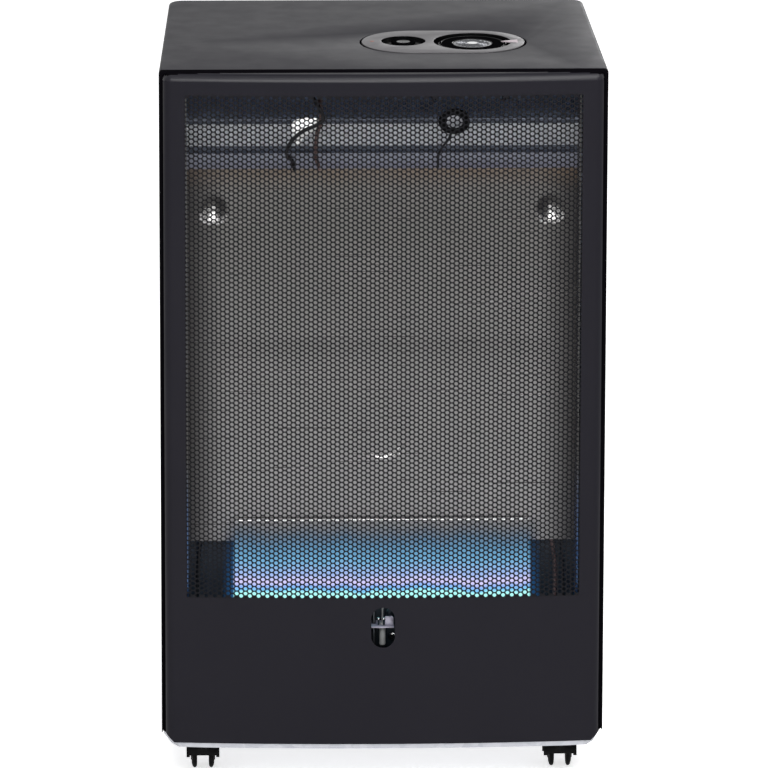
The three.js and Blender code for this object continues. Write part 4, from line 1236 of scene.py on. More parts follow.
@dataclass
class Lid:
    """The top panel: a shallow pressed lid that draws in towards the back."""

    front: float = 13.0
    back: float = 338.0
    half_front: float = 220.0
    half_back: float = 210.0
    height: float = 725.0
    skirt: float = 22.0
    edge: float = 3.5
    corner: float = 14.0
    sheet: float = 0.8
    hole_centre: Pair = (62.0, 136.5)
    hole_size: Pair = (166.0, 105.0)

    def outline(self, inset: float) -> list[Pair]:
        """Draw the lid's plan.

        Args:
            inset: how far its edge is moved in.

        Returns:
            The plan's corners.
        """
        side_front, side_back = self.half_front - inset, self.half_back - inset
        y0, y1 = self.front + inset, self.back - inset
        r = self.corner - inset * 0.6
        right: list[Pair] = [(side_front * i / 12, y0) for i in range(1, 12)]
        right += [(side_front + (side_back - side_front) * i / 8, y0 + (y1 - r - y0) * i / 8)
                  for i in range(9)]
        right += [(side_back - r + r * math.cos(a), y1 - r + r * math.sin(a)) for a in quarter(8, 1)]
        return [(0, y0), *right, *[(-x, y) for x, y in reversed(right)]]

    def build(self) -> None:
        """Make the lid with its rounded edge and the hole for the controls."""
        levels: list[Pair] = [(0.0, self.height - self.skirt)]
        levels += [(self.edge * (1 - math.cos(a)), self.height - self.edge * (1 - math.sin(a)))
                   for a in quarter(6)]
        points: list[Point] = []
        for inset, z in levels:
            points += [(x, y, z) for x, y in self.outline(inset)]
        count = len(self.outline(0))
        faces: list[Face] = []
        for j in range(len(levels) - 1):
            faces += band(j * count, (j + 1) * count, count)
        faces.append(tuple(range((len(levels) - 1) * count, len(levels) * count)))
        lid = mesh_object("top_panel_skin", points, faces)
        if lid.data.polygons[-1].normal.z < 0:
            lid.data.flip_normals()
        thick = lid.modifiers.new("sheet", "SOLIDIFY")
        thick.thickness = self.sheet * MM
        thick.offset = -1
        settled(lid)
        carved(lid, prism("control_hole", stadium(self.hole_centre, *self.hole_size, 48), 700, 740))
        bevelled(lid, 0.35, 2, 60)
        finish_piece(lid, Finishes.CASE, "cabinet", "case_paint", "top_panel", shade=30)
        lid.data.materials.append(Finishes.SEAM.value.material())
        # The lid's front lip gets the painted seam shade.
        seam = (self.front + self.edge + 1 - FRONT_TO_MIDDLE) * MM
        for face in lid.data.polygons:
            if face.normal.y < -0.35 and face.center.y < seam:
                face.material_index = 1


@dataclass
class Case:
    """The cabinet's outer sheets."""

    nodes: dict[str, Piece]
    panel: FrontPanel = field(default_factory=FrontPanel)
    lid: Lid = field(default_factory=Lid)
    seam_shade_depth: float = 20.0  # the side sheets' front strips are dressed in painted seam shade up to this depth
    tray_corner: float = 213.0  # the tray's front corners start here
    tray_lip: float = 3.0  # depth of the tray's front lip
    tray_wall: float = 15.0  # depth of its corner walls
    lip_draw: float = 12.0  # how far lip and walls are drawn in
    wall_draw: float = 5.0
    foot: tuple[Pair, ...] = (
        (219.6, 63.0), (219.6, 53.0), (218.6, 49.8), (216.6, 48.4), (212.0, 48.4), (212.0, 63.0))
    foot_depth: Pair = (14.6, 15.4)

    def tray(self) -> None:
        """Round the tray's edges and draw its front corners in behind the panel's slanted ones."""
        tray = soft_copy("floor_tray", self.nodes["base_tray"], 0.25)
        for vertex in tray.data.vertices:
            depth = vertex.co.y / MM + FRONT_TO_MIDDLE
            if depth < self.tray_wall and abs(vertex.co.x) > self.tray_corner * MM:
                inwards = self.lip_draw if depth < self.tray_lip else self.wall_draw
                vertex.co.x -= math.copysign(inwards * MM, vertex.co.x)
        finish_piece(tray, Finishes.ZINC, "cabinet", "galvanised_sheet", "base_tray")

    def build(self) -> None:
        """Make the front and the lid, and round the edges of the other sheets."""
        self.panel.build()
        self.lid.build()
        for side in ("left", "right"):
            node = f"{side}_side_panel"
            piece = soft_copy(f"{side}_side_sheet", self.nodes[node], 0.3)
            finish_piece(piece, Finishes.SIDES, "cabinet", "case_paint", node)
            # The front strip of each side sheet gets the painted seam shade.
            piece.data.materials.append(Finishes.SEAM.value.material())
            for face in piece.data.polygons:
                depth = face.center.y / MM + FRONT_TO_MIDDLE
                if depth < self.seam_shade_depth and abs(face.normal.x) < 0.98:
                    face.material_index = 1
        self.tray()
        # Small plates at the lower front corners, dressed in the painted seam shade so that the corners
        # read dark.
        for side, sign in (("left", -1), ("right", 1)):
            outline = [(sign * u, v) for u, v in self.foot]
            foot = prism(f"{side}_flange_foot", outline, *self.foot_depth, "xz")
            finish_piece(foot, Finishes.SEAM, "cabinet", "case_paint")
        cover = soft_copy("back_cover", self.nodes["rear_cover"], 0.35)
        finish_piece(cover, Finishes.SIDES, "cover", "case_paint", "rear_cover")


# ------------------------------------------------------------------ controls
@dataclass
class Controls:
    """Bezel, knob with its cut cap, and igniter button, sunk in the top."""

    centre: Pair = (62.0, 136.5)
    length: float = 166.0
    width: float = 105.0
    seam: float = 2.2
    rise: float = 0.6
    height: float = 725.0
    knob: Pair = (91.0, 137.0)
    well_radius: float = 38.5
    well_depth: float = 18.5
    knob_radius: float = 35.0
    knob_height: float = 13.0
    knob_drop: float = 0.8
    knob_step: float = 0.25
    flute_depth: float = 0.55
    cap_radius: float = 19.0
    cap_height: float = 4.5
    pyramid: float = 1.3
    cap_core: float = 5.4
    button: Pair = (22.6, 140.0)
    dish_radius: float = 22.0
    dish_depth: float = 7.5
    button_radius: float = 12.0
    button_rise: float = 0.8

    @property
    def top(self) -> float:
        """Height of the bezel's face."""
        return self.height + self.rise

    def shape(self, inset: float) -> list[Pair]:
        """Return the bezel's outline, moved in from the hole in the lid."""
        return stadium(self.centre, self.length - 2 * inset, self.width - 2 * inset, 48)

    def bezel(self) -> None:
        """Make the bezel plate with two round wells, and a black strip round it that paints the shade in
        the gap.
        """
        plate = prism("bezel_plate", self.shape(self.seam), 721.9, self.top)
        cups = [
            turned("well_cutter", [(0, -30), (self.well_radius, -30), (self.well_radius, 10), (0, 10)],
                   (*self.knob, self.top), sides=96, closed=True),
            turned("dish_cutter", [(0, -30), (self.dish_radius, -30), (self.dish_radius, 10), (0, 10)],
                   (*self.button, self.top), sides=72, closed=True),
        ]
        carved(plate, *cups)
        bevelled(plate, 0.5, 3, 50)
        # A matt black strip fills the gap round the bezel as painted shade.
        gap = prism("gap_cutter", self.shape(self.seam + 0.05), 700, 740)
        gap_shade = carved(prism("bezel_gasket", self.shape(0.15), 722.2, 724.5), gap)
        finish_piece(gap_shade, Finishes.MATT_BLACK, "cabinet", "black_plastic")
        finish_piece(plate, Finishes.BEZEL, "cabinet", "bezel_plastic", "control_bezel")

    def well(self, name: str, centre: Pair, radius: float, depth: float, bore: float) -> None:
        """Make a black liner with a rounded floor edge for one well.

        Args:
            name: the liner's name.
            centre: the well's middle.
            radius: the well's radius.
            depth: how deep it is.
            bore: radius of the hole in its floor.
        """
        wall, lip = 1.4, 4.0
        r, soft = radius - 0.05, min(3.0, depth / 3)
        inner = [(r, -0.25), (r, -depth + soft)]
        inner += [(r - soft * (1 - math.cos(a)), -depth + soft * (1 - math.sin(a))) for a in quarter(5, 1)]
        inner.append((bore, -depth))
        outer = [(bore, -depth - wall), (r + wall, -depth - wall), (r + wall, -lip),
                 (r + 0.04, -lip), (r + 0.04, -0.25)]
        liner = turned(name, inner + outer, (*centre, self.top), sides=96)
        finish_piece(liner, Finishes.GLOSS_BLACK, "cabinet", "black_plastic")

    def knob_body(self) -> None:
        """Make the knob: a low drum with a softly rounded, finely fluted rim."""
        base = self.height - self.knob_drop - self.knob_height
        top, radius = self.knob_height, self.knob_radius
        flutes, sides = 36, 288
        profile = [(3.6, 0.0), (radius - 1.2, 0.0), (radius - 0.2, 1.0), (radius - 0.2, top - 4.0)]
        profile += [(radius - 3.4 + 3.2 * math.cos(a), top - 3.2 + 3.2 * math.sin(a))
                    for a in quarter(6, 1)]
        rim, seat, step = radius - 4.2, self.cap_radius, self.knob_step
        profile += [(rim, top), (rim - step, top - step), (seat + 2.0, top - step),
                    (seat + 0.8, top - step - 0.3), (seat + 0.3, top - step - 0.9),
                    (seat + 0.3, top - self.cap_height - 0.3), (3.6, top - self.cap_height - 0.3)]
        knob = turned("knob_drum", profile, (*self.knob, base), sides=sides)
        centre = place(*self.knob, base)
        for vertex in knob.data.vertices:
            out = Vector((vertex.co.x - centre.x, vertex.co.y - centre.y, 0))
            if out.length > (radius - 2.0) * MM:
                angle = math.atan2(out.y, out.x)
                bite = self.flute_depth * max(0.0, math.cos(flutes * angle)) ** 2
                vertex.co -= out.normalized() * bite * MM
        finish_piece(knob, Finishes.GLOSS_BLACK, "knob", "black_plastic", "control_knob", shade=40)
        knob.data.materials.append(Finishes.MATT_BLACK.value.material())
        for face in knob.data.polygons:
            out = math.hypot(face.center.x - centre.x, face.center.y - centre.y)
            if face.normal.z > 0.8 and out < (radius - 1.6) * MM:
                face.material_index = 1

    def cap(self) -> None:
        """Make the cap: a plated disc whose face is cut into small pyramids."""
        base = self.height - self.knob_drop - self.cap_height
        radius, rows, sides = self.cap_radius, 10, 72
        points: list[Point] = []
        for j in range(rows + 1):
            r = radius * (1 - j / (rows + 1))
            for i in range(sides):
                angle = 2 * math.pi * i / sides
                crown = 0.9 * (1 - (r / radius) ** 2)
                cut = 0.0 if j < 2 else self.pyramid * ((i // 2 + j) % 2)
                fade = 1.0 if r > self.cap_core else 0.0
                points.append((self.knob[0] + r * math.cos(angle), self.knob[1] + r * math.sin(angle),
                               base + self.cap_height - 1.0 + crown - cut * fade))
        faces: list[Face] = []
        for j in range(rows):
            faces += band(j * sides, (j + 1) * sides, sides)
        faces.append(tuple(range(rows * sides, (rows + 1) * sides)))
        foot = len(points)
        points += [(x, y, base) for x, y, _ in points[:sides]]
        faces += band(foot, 0, sides)
        faces.append(tuple(range(foot, foot + sides)))
        cap = mesh_object("knurled_cap", points, faces)
        finish_piece(cap, Finishes.CUT_CHROME, "knob", "chrome_plate", "knob_cap", shade=None)
        cap.data.materials.append(Finishes.CHROME.value.material())
        middle = place(*self.knob, base)
        for face in cap.data.polygons:
            if math.hypot(face.center.x - middle.x, face.center.y - middle.y) < self.cap_core * MM:
                face.material_index = 1

    def button_cap(self) -> None:
        """Make the igniter button: a dished cap on its plunger."""
        base = self.top - self.dish_depth + 4.3
        top = self.height + self.button_rise
        plunger_low = self.top - self.dish_depth - 10
        h, r = top - base, self.button_radius
        profile = [(0.0, plunger_low - base), (4.0, plunger_low - base), (4.0, 0.0),
                   (r - 0.4, 0.0), (r, 0.4), (r, h - 1.2)]
        profile += [(r - 1.2 + 1.2 * math.cos(a), h - 1.2 + 1.2 * math.sin(a)) for a in quarter(5, 1)]
        profile += [((r - 1.6) * (1 - i / 8), h - 1.5 * (1 - (1 - i / 8) ** 2)) for i in range(0, 9)]
        made = turned("igniter_cap", profile, (*self.button, base), sides=64, closed=False)
        finish_piece(made, Finishes.MATT_BLACK, "igniter", "black_plastic", "igniter_button")
        made.data.materials.append(Finishes.GLOSS_BLACK.value.material())
        middle = place(*self.button, base)
        for face in made.data.polygons:
            out = math.hypot(face.center.x - middle.x, face.center.y - middle.y)
            if face.center.z > top * MM - 0.002 and out < 0.5 * r * MM:
                face.material_index = 1

    def pointer(self) -> None:
        """Make the pale pointer that reaches from the bezel over the knob's rim."""
        x, y = self.knob
        tip, foot = x + 28.5, x + self.well_radius + 6.5
        half = 7.6
        outline = [(tip, y), (foot, y - half), (foot, y + half)]
        made = prism("pointer", outline, self.top - 0.9, self.top + 0.15)
        bevelled(made, 0.15, 1)
        finish_piece(made, Finishes.POINTER, "cabinet", "bezel_plastic")
        dot = turned("mark", [(0, -0.3), (2.2, -0.3), (2.2, 0.08), (0, 0.08)],
                     (-8.4, 138.0, self.top), sides=24, closed=False)
        finish_piece(dot, Finishes.MARK, "cabinet", "bezel_plastic")

    def build(self) -> None:
        """Make all the controls."""
        self.bezel()
        self.well("knob_well", self.knob, self.well_radius, self.well_depth, 5.2)
        self.well("button_dish", self.button, self.dish_radius, self.dish_depth, 5.0)
        self.knob_body()
        self.cap()
        self.button_cap()
        self.pointer()


# ------------------------------------------------------------------ firebox
@dataclass
class Firebox:
    """Reflector, deflector and cheeks behind the holes."""

    nodes: dict[str, Piece]
    half_width: float = 192.7
    reflector_front: float = 68.0
    low: float = 231.0
    high: float = 628.2
    sheet: float = 1.0
    dimple_x: float = 167.0
    dimple_z: float = 572.5
    dimple_radius: float = 17.0
    dimple_depth: float = 5.0
    crest_z: float = 345.0
    crest_radius: float = 30.0
    crest_depth: float = 1.9
    dimple_floor: float = 0.05  # flat share of a dimple's radius
    crest_floor: float = 0.86
    crest_lean: Pair = (0.34, -0.94)  # the round pressing is deepest towards here
    bead_z: float = 434.0
    bead_half: float = 165.0
    bead_half_height: float = 3.0
    bead_end: float = 5.0
    bead_depth: float = 0.7
    shine_drop: float = 8.0  # how far the painted highlight patch lies under a dimple's middle
    shine_reach: Pair = (13.5, 8.5)
    deflector_face: tuple[Pair, ...] = (
        (66.7, 613.0), (66.7, 628.6), (73.0, 630.2), (73.0, 636.2),
        (64.4, 636.6), (44.6, 653.6), (29.0, 667.0), (24.6, 670.8))
    hem: Point = (23.2, 672.6, 1.9)  # middle and radius of the deflector's rolled edge
    foot_top: float = 628.7
    fold_top: float = 636.5
    hem_low: float = 667.5

    def relief(self, x: float, z: float) -> float:
        """Work out how far the reflector is pressed back.

        Args:
            x: place across.
            z: height.

        Returns:
            The depth, less than nothing on the bead.
        """
        lean = (self.crest_lean[0] * x + self.crest_lean[1] * (z - self.crest_z)) / self.crest_radius
        crest_depth = self.crest_depth * (0.55 + 0.45 * lean)
        pressings = (
            (-self.dimple_x, self.dimple_z, self.dimple_radius, self.dimple_depth, self.dimple_floor),
            (self.dimple_x, self.dimple_z, self.dimple_radius, self.dimple_depth, self.dimple_floor),
            (0.0, self.crest_z, self.crest_radius, crest_depth, self.crest_floor))
        out = 0.0
        for cx, cz, radius, depth, flat in pressings:
            share = math.hypot(x - cx, z - cz) / radius
            if share < 1:
                wall = max(0.0, (share - flat) / (1 - flat))
                out = max(out, depth * (math.cos(math.pi * wall) + 1) / 2)
        rib = abs(z - self.bead_z) / self.bead_half_height
        if rib < 1 and abs(x) < self.bead_half:
            end = min(1.0, (self.bead_half - abs(x)) / self.bead_end)
            out = -self.bead_depth * end * (math.cos(math.pi * rib) + 1) / 2
        return out

    def reflector(self) -> None:
        """Make the pressed reflector, with finer lines where it is embossed."""
        def lines(low: float, high: float, fine: Sequence[Pair]) -> list[float]:
            """Space grid lines, closer inside the fine spans.

            Args:
                low: the first line.
                high: the last line.
                fine: spans with close lines.

            Returns:
                The lines.
            """
            at, out = low, [low]
            while at < high - 1e-6:
                near = any(a - 0.01 <= at < b for a, b in fine)
                step = 1.6 if near else 14.0
                stop = min([high] + [v for a, b in fine for v in (a, b) if v > at + 1e-6])
                at = min(at + step, stop)
                out.append(at)
            return out

        r, c = self.dimple_radius + 1, self.crest_radius + 1
        xs = lines(-self.half_width, self.half_width, [
            (-self.dimple_x - r, -self.dimple_x + r), (-c, c), (self.dimple_x - r, self.dimple_x + r)])
        rib = self.bead_half_height
        zs = lines(self.low, self.high, [
            (self.crest_z - c, self.crest_z + c), (self.bead_z - rib, self.bead_z + rib),
            (self.dimple_z - r, self.dimple_z + r)])
        points: list[Point] = []
        for back in (0.0, self.sheet):
            points += [(x, self.reflector_front + back + self.relief(x, z), z) for z in zs for x in xs]
        made = mesh_object("reflector_sheet", points, slab_faces(len(xs), len(zs)))
        finish_piece(made, Finishes.REFLECTOR, "cabinet", "heat_steel", "reflector_panel", shade=50)
        # The lower slopes of the dimples and of the round pressing get the painted highlight patch.
        made.data.materials.append(Finishes.POLISHED.value.material())
        for face in made.data.polygons:
            x, z = face.center.x / MM, face.center.z / MM
            crest = math.hypot(x, z - self.crest_z) / self.crest_radius
            low_crest = z < self.crest_z - 0.6 * self.crest_radius and x > -13
            off_shine = math.hypot((abs(x) - self.dimple_x) / self.shine_reach[0],
                                   (z - self.dimple_z + self.shine_drop) / self.shine_reach[1])
            if (self.crest_floor < crest < 1 and low_crest) or off_shine < 1:
                face.material_index = 1

    def deflector(self) -> None:
        """Make the deflector: foot, dark channel, slope and a hem rolled back along its upper edge."""
        y, z, radius = self.hem
        hem = [(y + radius * math.cos(a), z + radius * math.sin(a))
               for a in (-2.6, -3.2, -3.9, -4.6, -5.3, -5.9)]
        line = [Vector(corner) for corner in (*self.deflector_face, *hem)]
        sheet = 0.9
        back = []
        for i, here in enumerate(line):
            ahead = (line[min(i + 1, len(line) - 1)] - line[max(i - 1, 0)]).normalized()
            back.append((here.x + sheet * ahead.y, here.y - sheet * ahead.x))
        outline = [tuple(p) for p in line] + back[::-1]
        made = prism("heat_deflector", outline, -self.half_width, self.half_width, "yz")
        smoothed(made, 28)
        # The slope's near-white finish paints the reflection it shows; the fold's finish paints shade in
        # the channel and on the hem.
        Finishes.BRIGHT.dress(made)
        made.data.materials.append(Finishes.FOLD.value.material())
        made.data.materials.append(Finishes.FOOT.value.material())
        for face in made.data.polygons:
            height = face.center.z / MM
            if self.foot_top < height < self.fold_top or height > self.hem_low:
                face.material_index = 1
            elif height < self.foot_top:
                face.material_index = 2
        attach(made, "cabinet")
        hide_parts("top_deflector")

    def build(self) -> None:
        """Make the reflector and the deflector and dress the other sheets of the firebox."""
        self.reflector()
        self.deflector()
        # The cheeks carry the flame's painted blue reflection, the partition painted light and shade, the
        # shelf painted shade.
        for node in ("left_cheek", "right_cheek"):
            Finishes.CHEEK.dress(self.nodes[node])
        Finishes.LINER.dress(self.nodes["rear_partition"])
        Finishes.SCALED.dress(self.nodes["burner_shelf"])
        for node in ("valve_bracket", "mixing_tube"):
            Finishes.ZINC.dress(self.nodes[node])
        Finishes.CAST.dress(self.nodes["gas_valve"])
        Finishes.BRASS.dress(self.nodes["valve_spindle"])
        Finishes.BRASS.dress(self.nodes["injector"])


@dataclass
class Burner:
    """The bar burner with its flame, and the plate behind it."""

    nodes: dict[str, Piece]
    half_width: float = 148.0
    middle: float = 45.0
    top: float = 172.2
    flame_top: float = 264.0
    plate_half: float = 147.0
    plate_front: float = 60.3
    plate_low: float = 121.1
    plate_high: float = 255.0
    plate_edge: float = 5.0

    def flame(self) -> None:
        """Make the flame as two clear films, one behind the other."""
        reach = Finishes.FLAME.value.half_width + Finishes.FLAME.value.fringe
        count, rows = 78, 8
        for number, depth in enumerate((self.middle - 6, self.middle + 6)):
            points: list[Point] = []
            for side in (-0.3, 0.3):
                for j in range(rows + 1):
                    share = j / rows
                    z = self.top + (self.flame_top - self.top) * share
                    for i in range(count + 1):
                        x = -reach + 2 * reach * i / count
                        sway = 0.8 * math.sin(0.21 * x + 2.1 * number + 3 * share)
                        points.append((x, depth + side + sway * share, z))
            made = mesh_object(f"flame_film_{number + 1}", points, slab_faces(count + 1, rows + 1))
            finish_piece(made, Finishes.FLAME, "cabinet", "heat_steel")

    def rear_plate(self) -> None:
        """Make the plate behind the flame, with a bright edge rolled back along its top."""
        front, high, sheet = self.plate_front, self.plate_high, 1.0
        bend = 1.3
        middle = (front + bend, high - bend)
        outer, inner = (
            [(middle[0] - radius * math.cos(a), middle[1] + radius * math.sin(a)) for a in quarter(5)]
            for radius in (bend, bend - sheet))
        back = front + self.plate_edge
        outline = [(front, self.plate_low), *outer, (back, high), (back, high - sheet), *inner[::-1],
                   (front + sheet, self.plate_low)]
        made = prism("burner_rear_plate", outline, -self.plate_half, self.plate_half, "yz")
        smoothed(made, 35)
        Finishes.REFLECTOR.dress(made)
        # The rolled top edge gets the painted highlight line.
        made.data.materials.append(Finishes.EDGE.value.material())
        for face in made.data.polygons:
            if face.center.z > (high - bend - 0.1) * MM and abs(face.normal.x) < 0.5:
                face.material_index = 1
        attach(made, "cabinet")
        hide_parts("flame_plate")

    def build(self) -> None:
        """Dress the bar, make its plate and light the flame."""
        # The bar is dressed in the dark painted shade of the firebox's inside.
        Finishes.SCALED.dress(self.nodes["burner_bar"])
        self.rear_plate()
        self.flame()


@dataclass
class PipesAndPilot:
    """Pipe, leads and the pilot group that shows in the sight slot."""

    nodes: dict[str, Piece]
    pipe_radius: float = 1.9
    lead_radius: float = 1.3
    probe_lead_radius: float = 2.1
    arch: tuple[Pair, ...] = (  # the nickel plate's outline
        (-90.0, 662.3), (-90.0, 668.6), (-88.4, 671.6), (-84.6, 673.9), (-76.2, 675.3), (-66.5, 675.0),
        (-63.2, 673.0), (-62.6, 668.7), (-67.8, 661.6), (-77.7, 656.2), (-84.4, 649.5), (-86.8, 651.0),
        (-88.6, 657.5))
    arch_lean: float = 0.3  # mm back for each mm of height over arch_low
    arch_low: float = 650.0
    cutout_at: Point = (69.5, 24.0, 671.0)
    cutout_axis: Point = (0.0, -0.9, -0.44)

    def routes(self) -> dict[str, list[Point]]:
        """Lay out the gas pipe and the two leads, from the valve down to burner and pilot.

        Returns:
            The points of each route, by its name.
        """
        return {
            "gas": [
                (59.7, 137, 674.4), (55.7, 137, 674.4), (50.7, 135, 674.9), (36, 118, 678.4),
                (2, 106, 684.4), (-30, 92, 697), (-60, 72, 702), (-71, 45, 702), (-70, 24, 697),
                (-63, 15, 686), (-59, 11.5, 676), (-66, 10.5, 670), (-78, 11, 664.5), (-88, 13, 656),
                (-93.5, 18, 646), (-95, 28, 638), (-92, 46, 629), (-88, 64, 619), (-88, 73.5, 600),
                (-150, 73.5, 420), (-179.3, 73.5, 246), (-185.3, 68.5, 165.8), (-187.3, 52, 142.8),
                (-183.3, 45, 139.8), (-177.6, 45, 139.8)],
            "probe": [
                (67.7, 148, 668.4), (65, 148, 668.4), (51.7, 146, 665.4), (30, 124, 661.4),
                (0, 108, 670.4), (-22, 90, 690), (-42, 68, 698), (-56, 44, 699), (-62, 25, 693),
                (-61, 18, 682), (-61.5, 17.5, 672), (-64.5, 18, 662), (-65.5, 20, 654),
                (-66, 30, 641), (-66, 46, 631), (-64, 64, 620), (-58, 73.5, 600), (60, 73.5, 420),
                (167, 73.5, 244), (171, 56, 151.8), (161, 23, 128.8), (73.5, 22, 124.8),
                (5.4, 22, 124.8), (-5.6, 20.5, 125.2), (-8.6, 20, 131.5)],
            "spark": [
                (22.6, 140, 667.2), (22.6, 136, 654.2), (42.6, 92, 652.2), (58.6, 79, 650.2),
                (72.6, 75, 626.2), (177, 75, 420), (180, 73.5, 244), (181, 56, 151.8),
                (169, 18, 130.8), (73.5, 13, 127.8), (12, 14, 127.8), (1, 17, 130.8), (0, 17, 136.1)],
        }

    def pilot_plate(self) -> None:
        """Make the pilot's bracket: a pale plate with a tab on it, over a dark leg."""
        plate = prism("pilot_plate", [(-13, 7), (11.2, 7), (11.2, 29.4), (-13, 29.4)], 157.6, 159.0)
        cutters = [turned(name, [(0, -5), (radius, -5), (radius, 5), (0, 5)], (x, y, 158.3), sides=48)
                   for name, radius, x, y in (("rod_cutter", 3.3, 0, 17), ("tip_cutter", 2.7, -8.6, 20))]
        carved(plate, *cutters)
        bevelled(plate, 0.25, 2, 50)
        finish_piece(plate, Finishes.TAB, "cabinet", "galvanised_sheet", "pilot_bracket")
        outline = [(2.6, 158.8), (10.9, 158.8), (10.9, 167.0), (9.6, 168.4), (2.6, 168.4)]
        tab = prism("pilot_tab", outline, 11.05, 12.45, "xz")
        bevelled(tab, 0.3, 2, 50)
        finish_piece(tab, Finishes.TAB, "cabinet", "galvanised_sheet")
        # The leg is dressed in painted shade, dark as the inside behind it.
        leg = box("pilot_leg", (-13, 13), (28.25, 29.65), (132.85, 157.5))
        bevelled(leg, 0.3, 2)
        finish_piece(leg, Finishes.SCALED, "cabinet", "galvanised_sheet")
        profile = [(0, 0), (0.9, 0), (0.9, 5.4), (1.5, 5.9), (1.5, 7.1), (0.9, 7.7), (0, 7.8)]
        jet_foot = 164.5  # the jets are dark with painted shade below this and bright above
        for number, x in enumerate((-4.0, 1.2)):
            stem = turned(f"pilot_jet_{number + 1}", profile, (x, 13.2, 159.1), sides=20, closed=False)
            finish_piece(stem, Finishes.CHROME, "cabinet", "chrome_plate")
            stem.data.materials.append(Finishes.SCALED.value.material())
            for face in stem.data.polygons:
                if face.center.z < jet_foot * MM:
                    face.material_index = 1

    def cutout(self) -> None:
        """Make the overheat cutout: a pale disc in a dark ring, with its lead."""
        profile = [(8.4, 0), (15.4, 0), (15.4, 2.2), (14.6, 3.0), (9.2, 3.0), (8.4, 2.2)]
        ring = turned("cutout_ring", profile, self.cutout_at, self.cutout_axis, 48)
        finish_piece(ring, Finishes.NYLON, "cabinet", "black_plastic", "overheat_cutout")
        profile = [(0, 0.4), (8.35, 0.4), (8.35, 1.6), (7.4, 2.1), (0, 2.1)]
        disc = turned("cutout_disc", profile, self.cutout_at, self.cutout_axis, 40, closed=False)
        finish_piece(disc, Finishes.ZINC, "cabinet", "galvanised_sheet")
        route = [(67, 25, 659), (64, 28, 651), (59, 38, 642), (56, 52, 632), (55, 64.6, 621), (55, 65, 614)]
        lead = tube("cutout_lead", curve_through(route), 1.2, 10)
        finish_piece(lead, Finishes.SLEEVE, "cabinet", "black_rubber", shade=60)

    def build(self) -> None:
        """Make pipe, leads and pilot."""
        routes = self.routes()
        gas = tube("gas_pipe_sleeve", curve_through(routes["gas"]), self.pipe_radius)
        finish_piece(gas, Finishes.SLEEVE, "cabinet", "black_rubber", "gas_pipe", shade=60)
        probe = tube("thermocouple_lead", curve_through(routes["probe"]), self.probe_lead_radius, 12)
        finish_piece(probe, Finishes.COPPER, "cabinet", "copper", shade=60)
        spark = tube("spark_lead", curve_through(routes["spark"]), self.lead_radius, 10)
        finish_piece(spark, Finishes.SLEEVE, "cabinet", "black_rubber", "ignition_lead", shade=60)
        sensor = turned("thermocouple_tip", [(0, 0), (2.0, 0), (2.0, 50.5), (1.4, 52.6), (0, 53)],
                        (-8.6, 20, 131), sides=24, closed=False)
        finish_piece(sensor, Finishes.STAINLESS, "cabinet", "copper", "thermocouple")
        rod = [(0, 0), (2.0, 0), (2.8, 0.7), (3.1, 1.8), (3.1, 22.6), (2.7, 23.4), (0.9, 23.8),
               (0.75, 42.0), (0, 42.4)]
        electrode = turned("electrode_rod", rod, (0, 17, 137.1), sides=32, closed=False)
        finish_piece(electrode, Finishes.CERAMIC, "cabinet", "ceramic_white", "spark_electrode")
        self.pilot_plate()
        # The pilot burner is dressed in painted shade.
        Finishes.SCALED.dress(self.nodes["pilot_burner"])
        clip = prism("nickel_plate", self.arch, 13.5, 14.5, "xz")
        for vertex in clip.data.vertices:
            vertex.co.y += self.arch_lean * (vertex.co.z - self.arch_low * MM)
        bevelled(clip, 0.25, 2, 50)
        finish_piece(clip, Finishes.NICKEL, "cabinet", "chrome_plate", "pipe_clip")
        for spot in ("shelf_screw_left", "shelf_screw_right", "bracket_screw_left",
                     "bracket_screw_right", "pilot_screw"):
            Finishes.CHROME.dress(self.nodes[spot])
        Finishes.NYLON.dress(self.nodes["piezo_igniter"])
        self.cutout()
        inlet = soft_copy("hose_barb", self.nodes["hose_inlet"], 0.15)
        finish_piece(inlet, Finishes.BRASS, "cabinet", "brass", "hose_inlet")


# ------------------------------------------------------------------ casters
class Corner(Enum):
    """The four corners that stand on casters: stem x and y."""

    FRONT_LEFT = (-179.0, 42.0)
    FRONT_RIGHT = (179.0, 42.0)
    REAR_LEFT = (-168.0, 288.0)
    REAR_RIGHT = (168.0, 288.0)

    @property
    def label(self) -> str:
        """The corner's name in the record."""
        return self.name.lower()


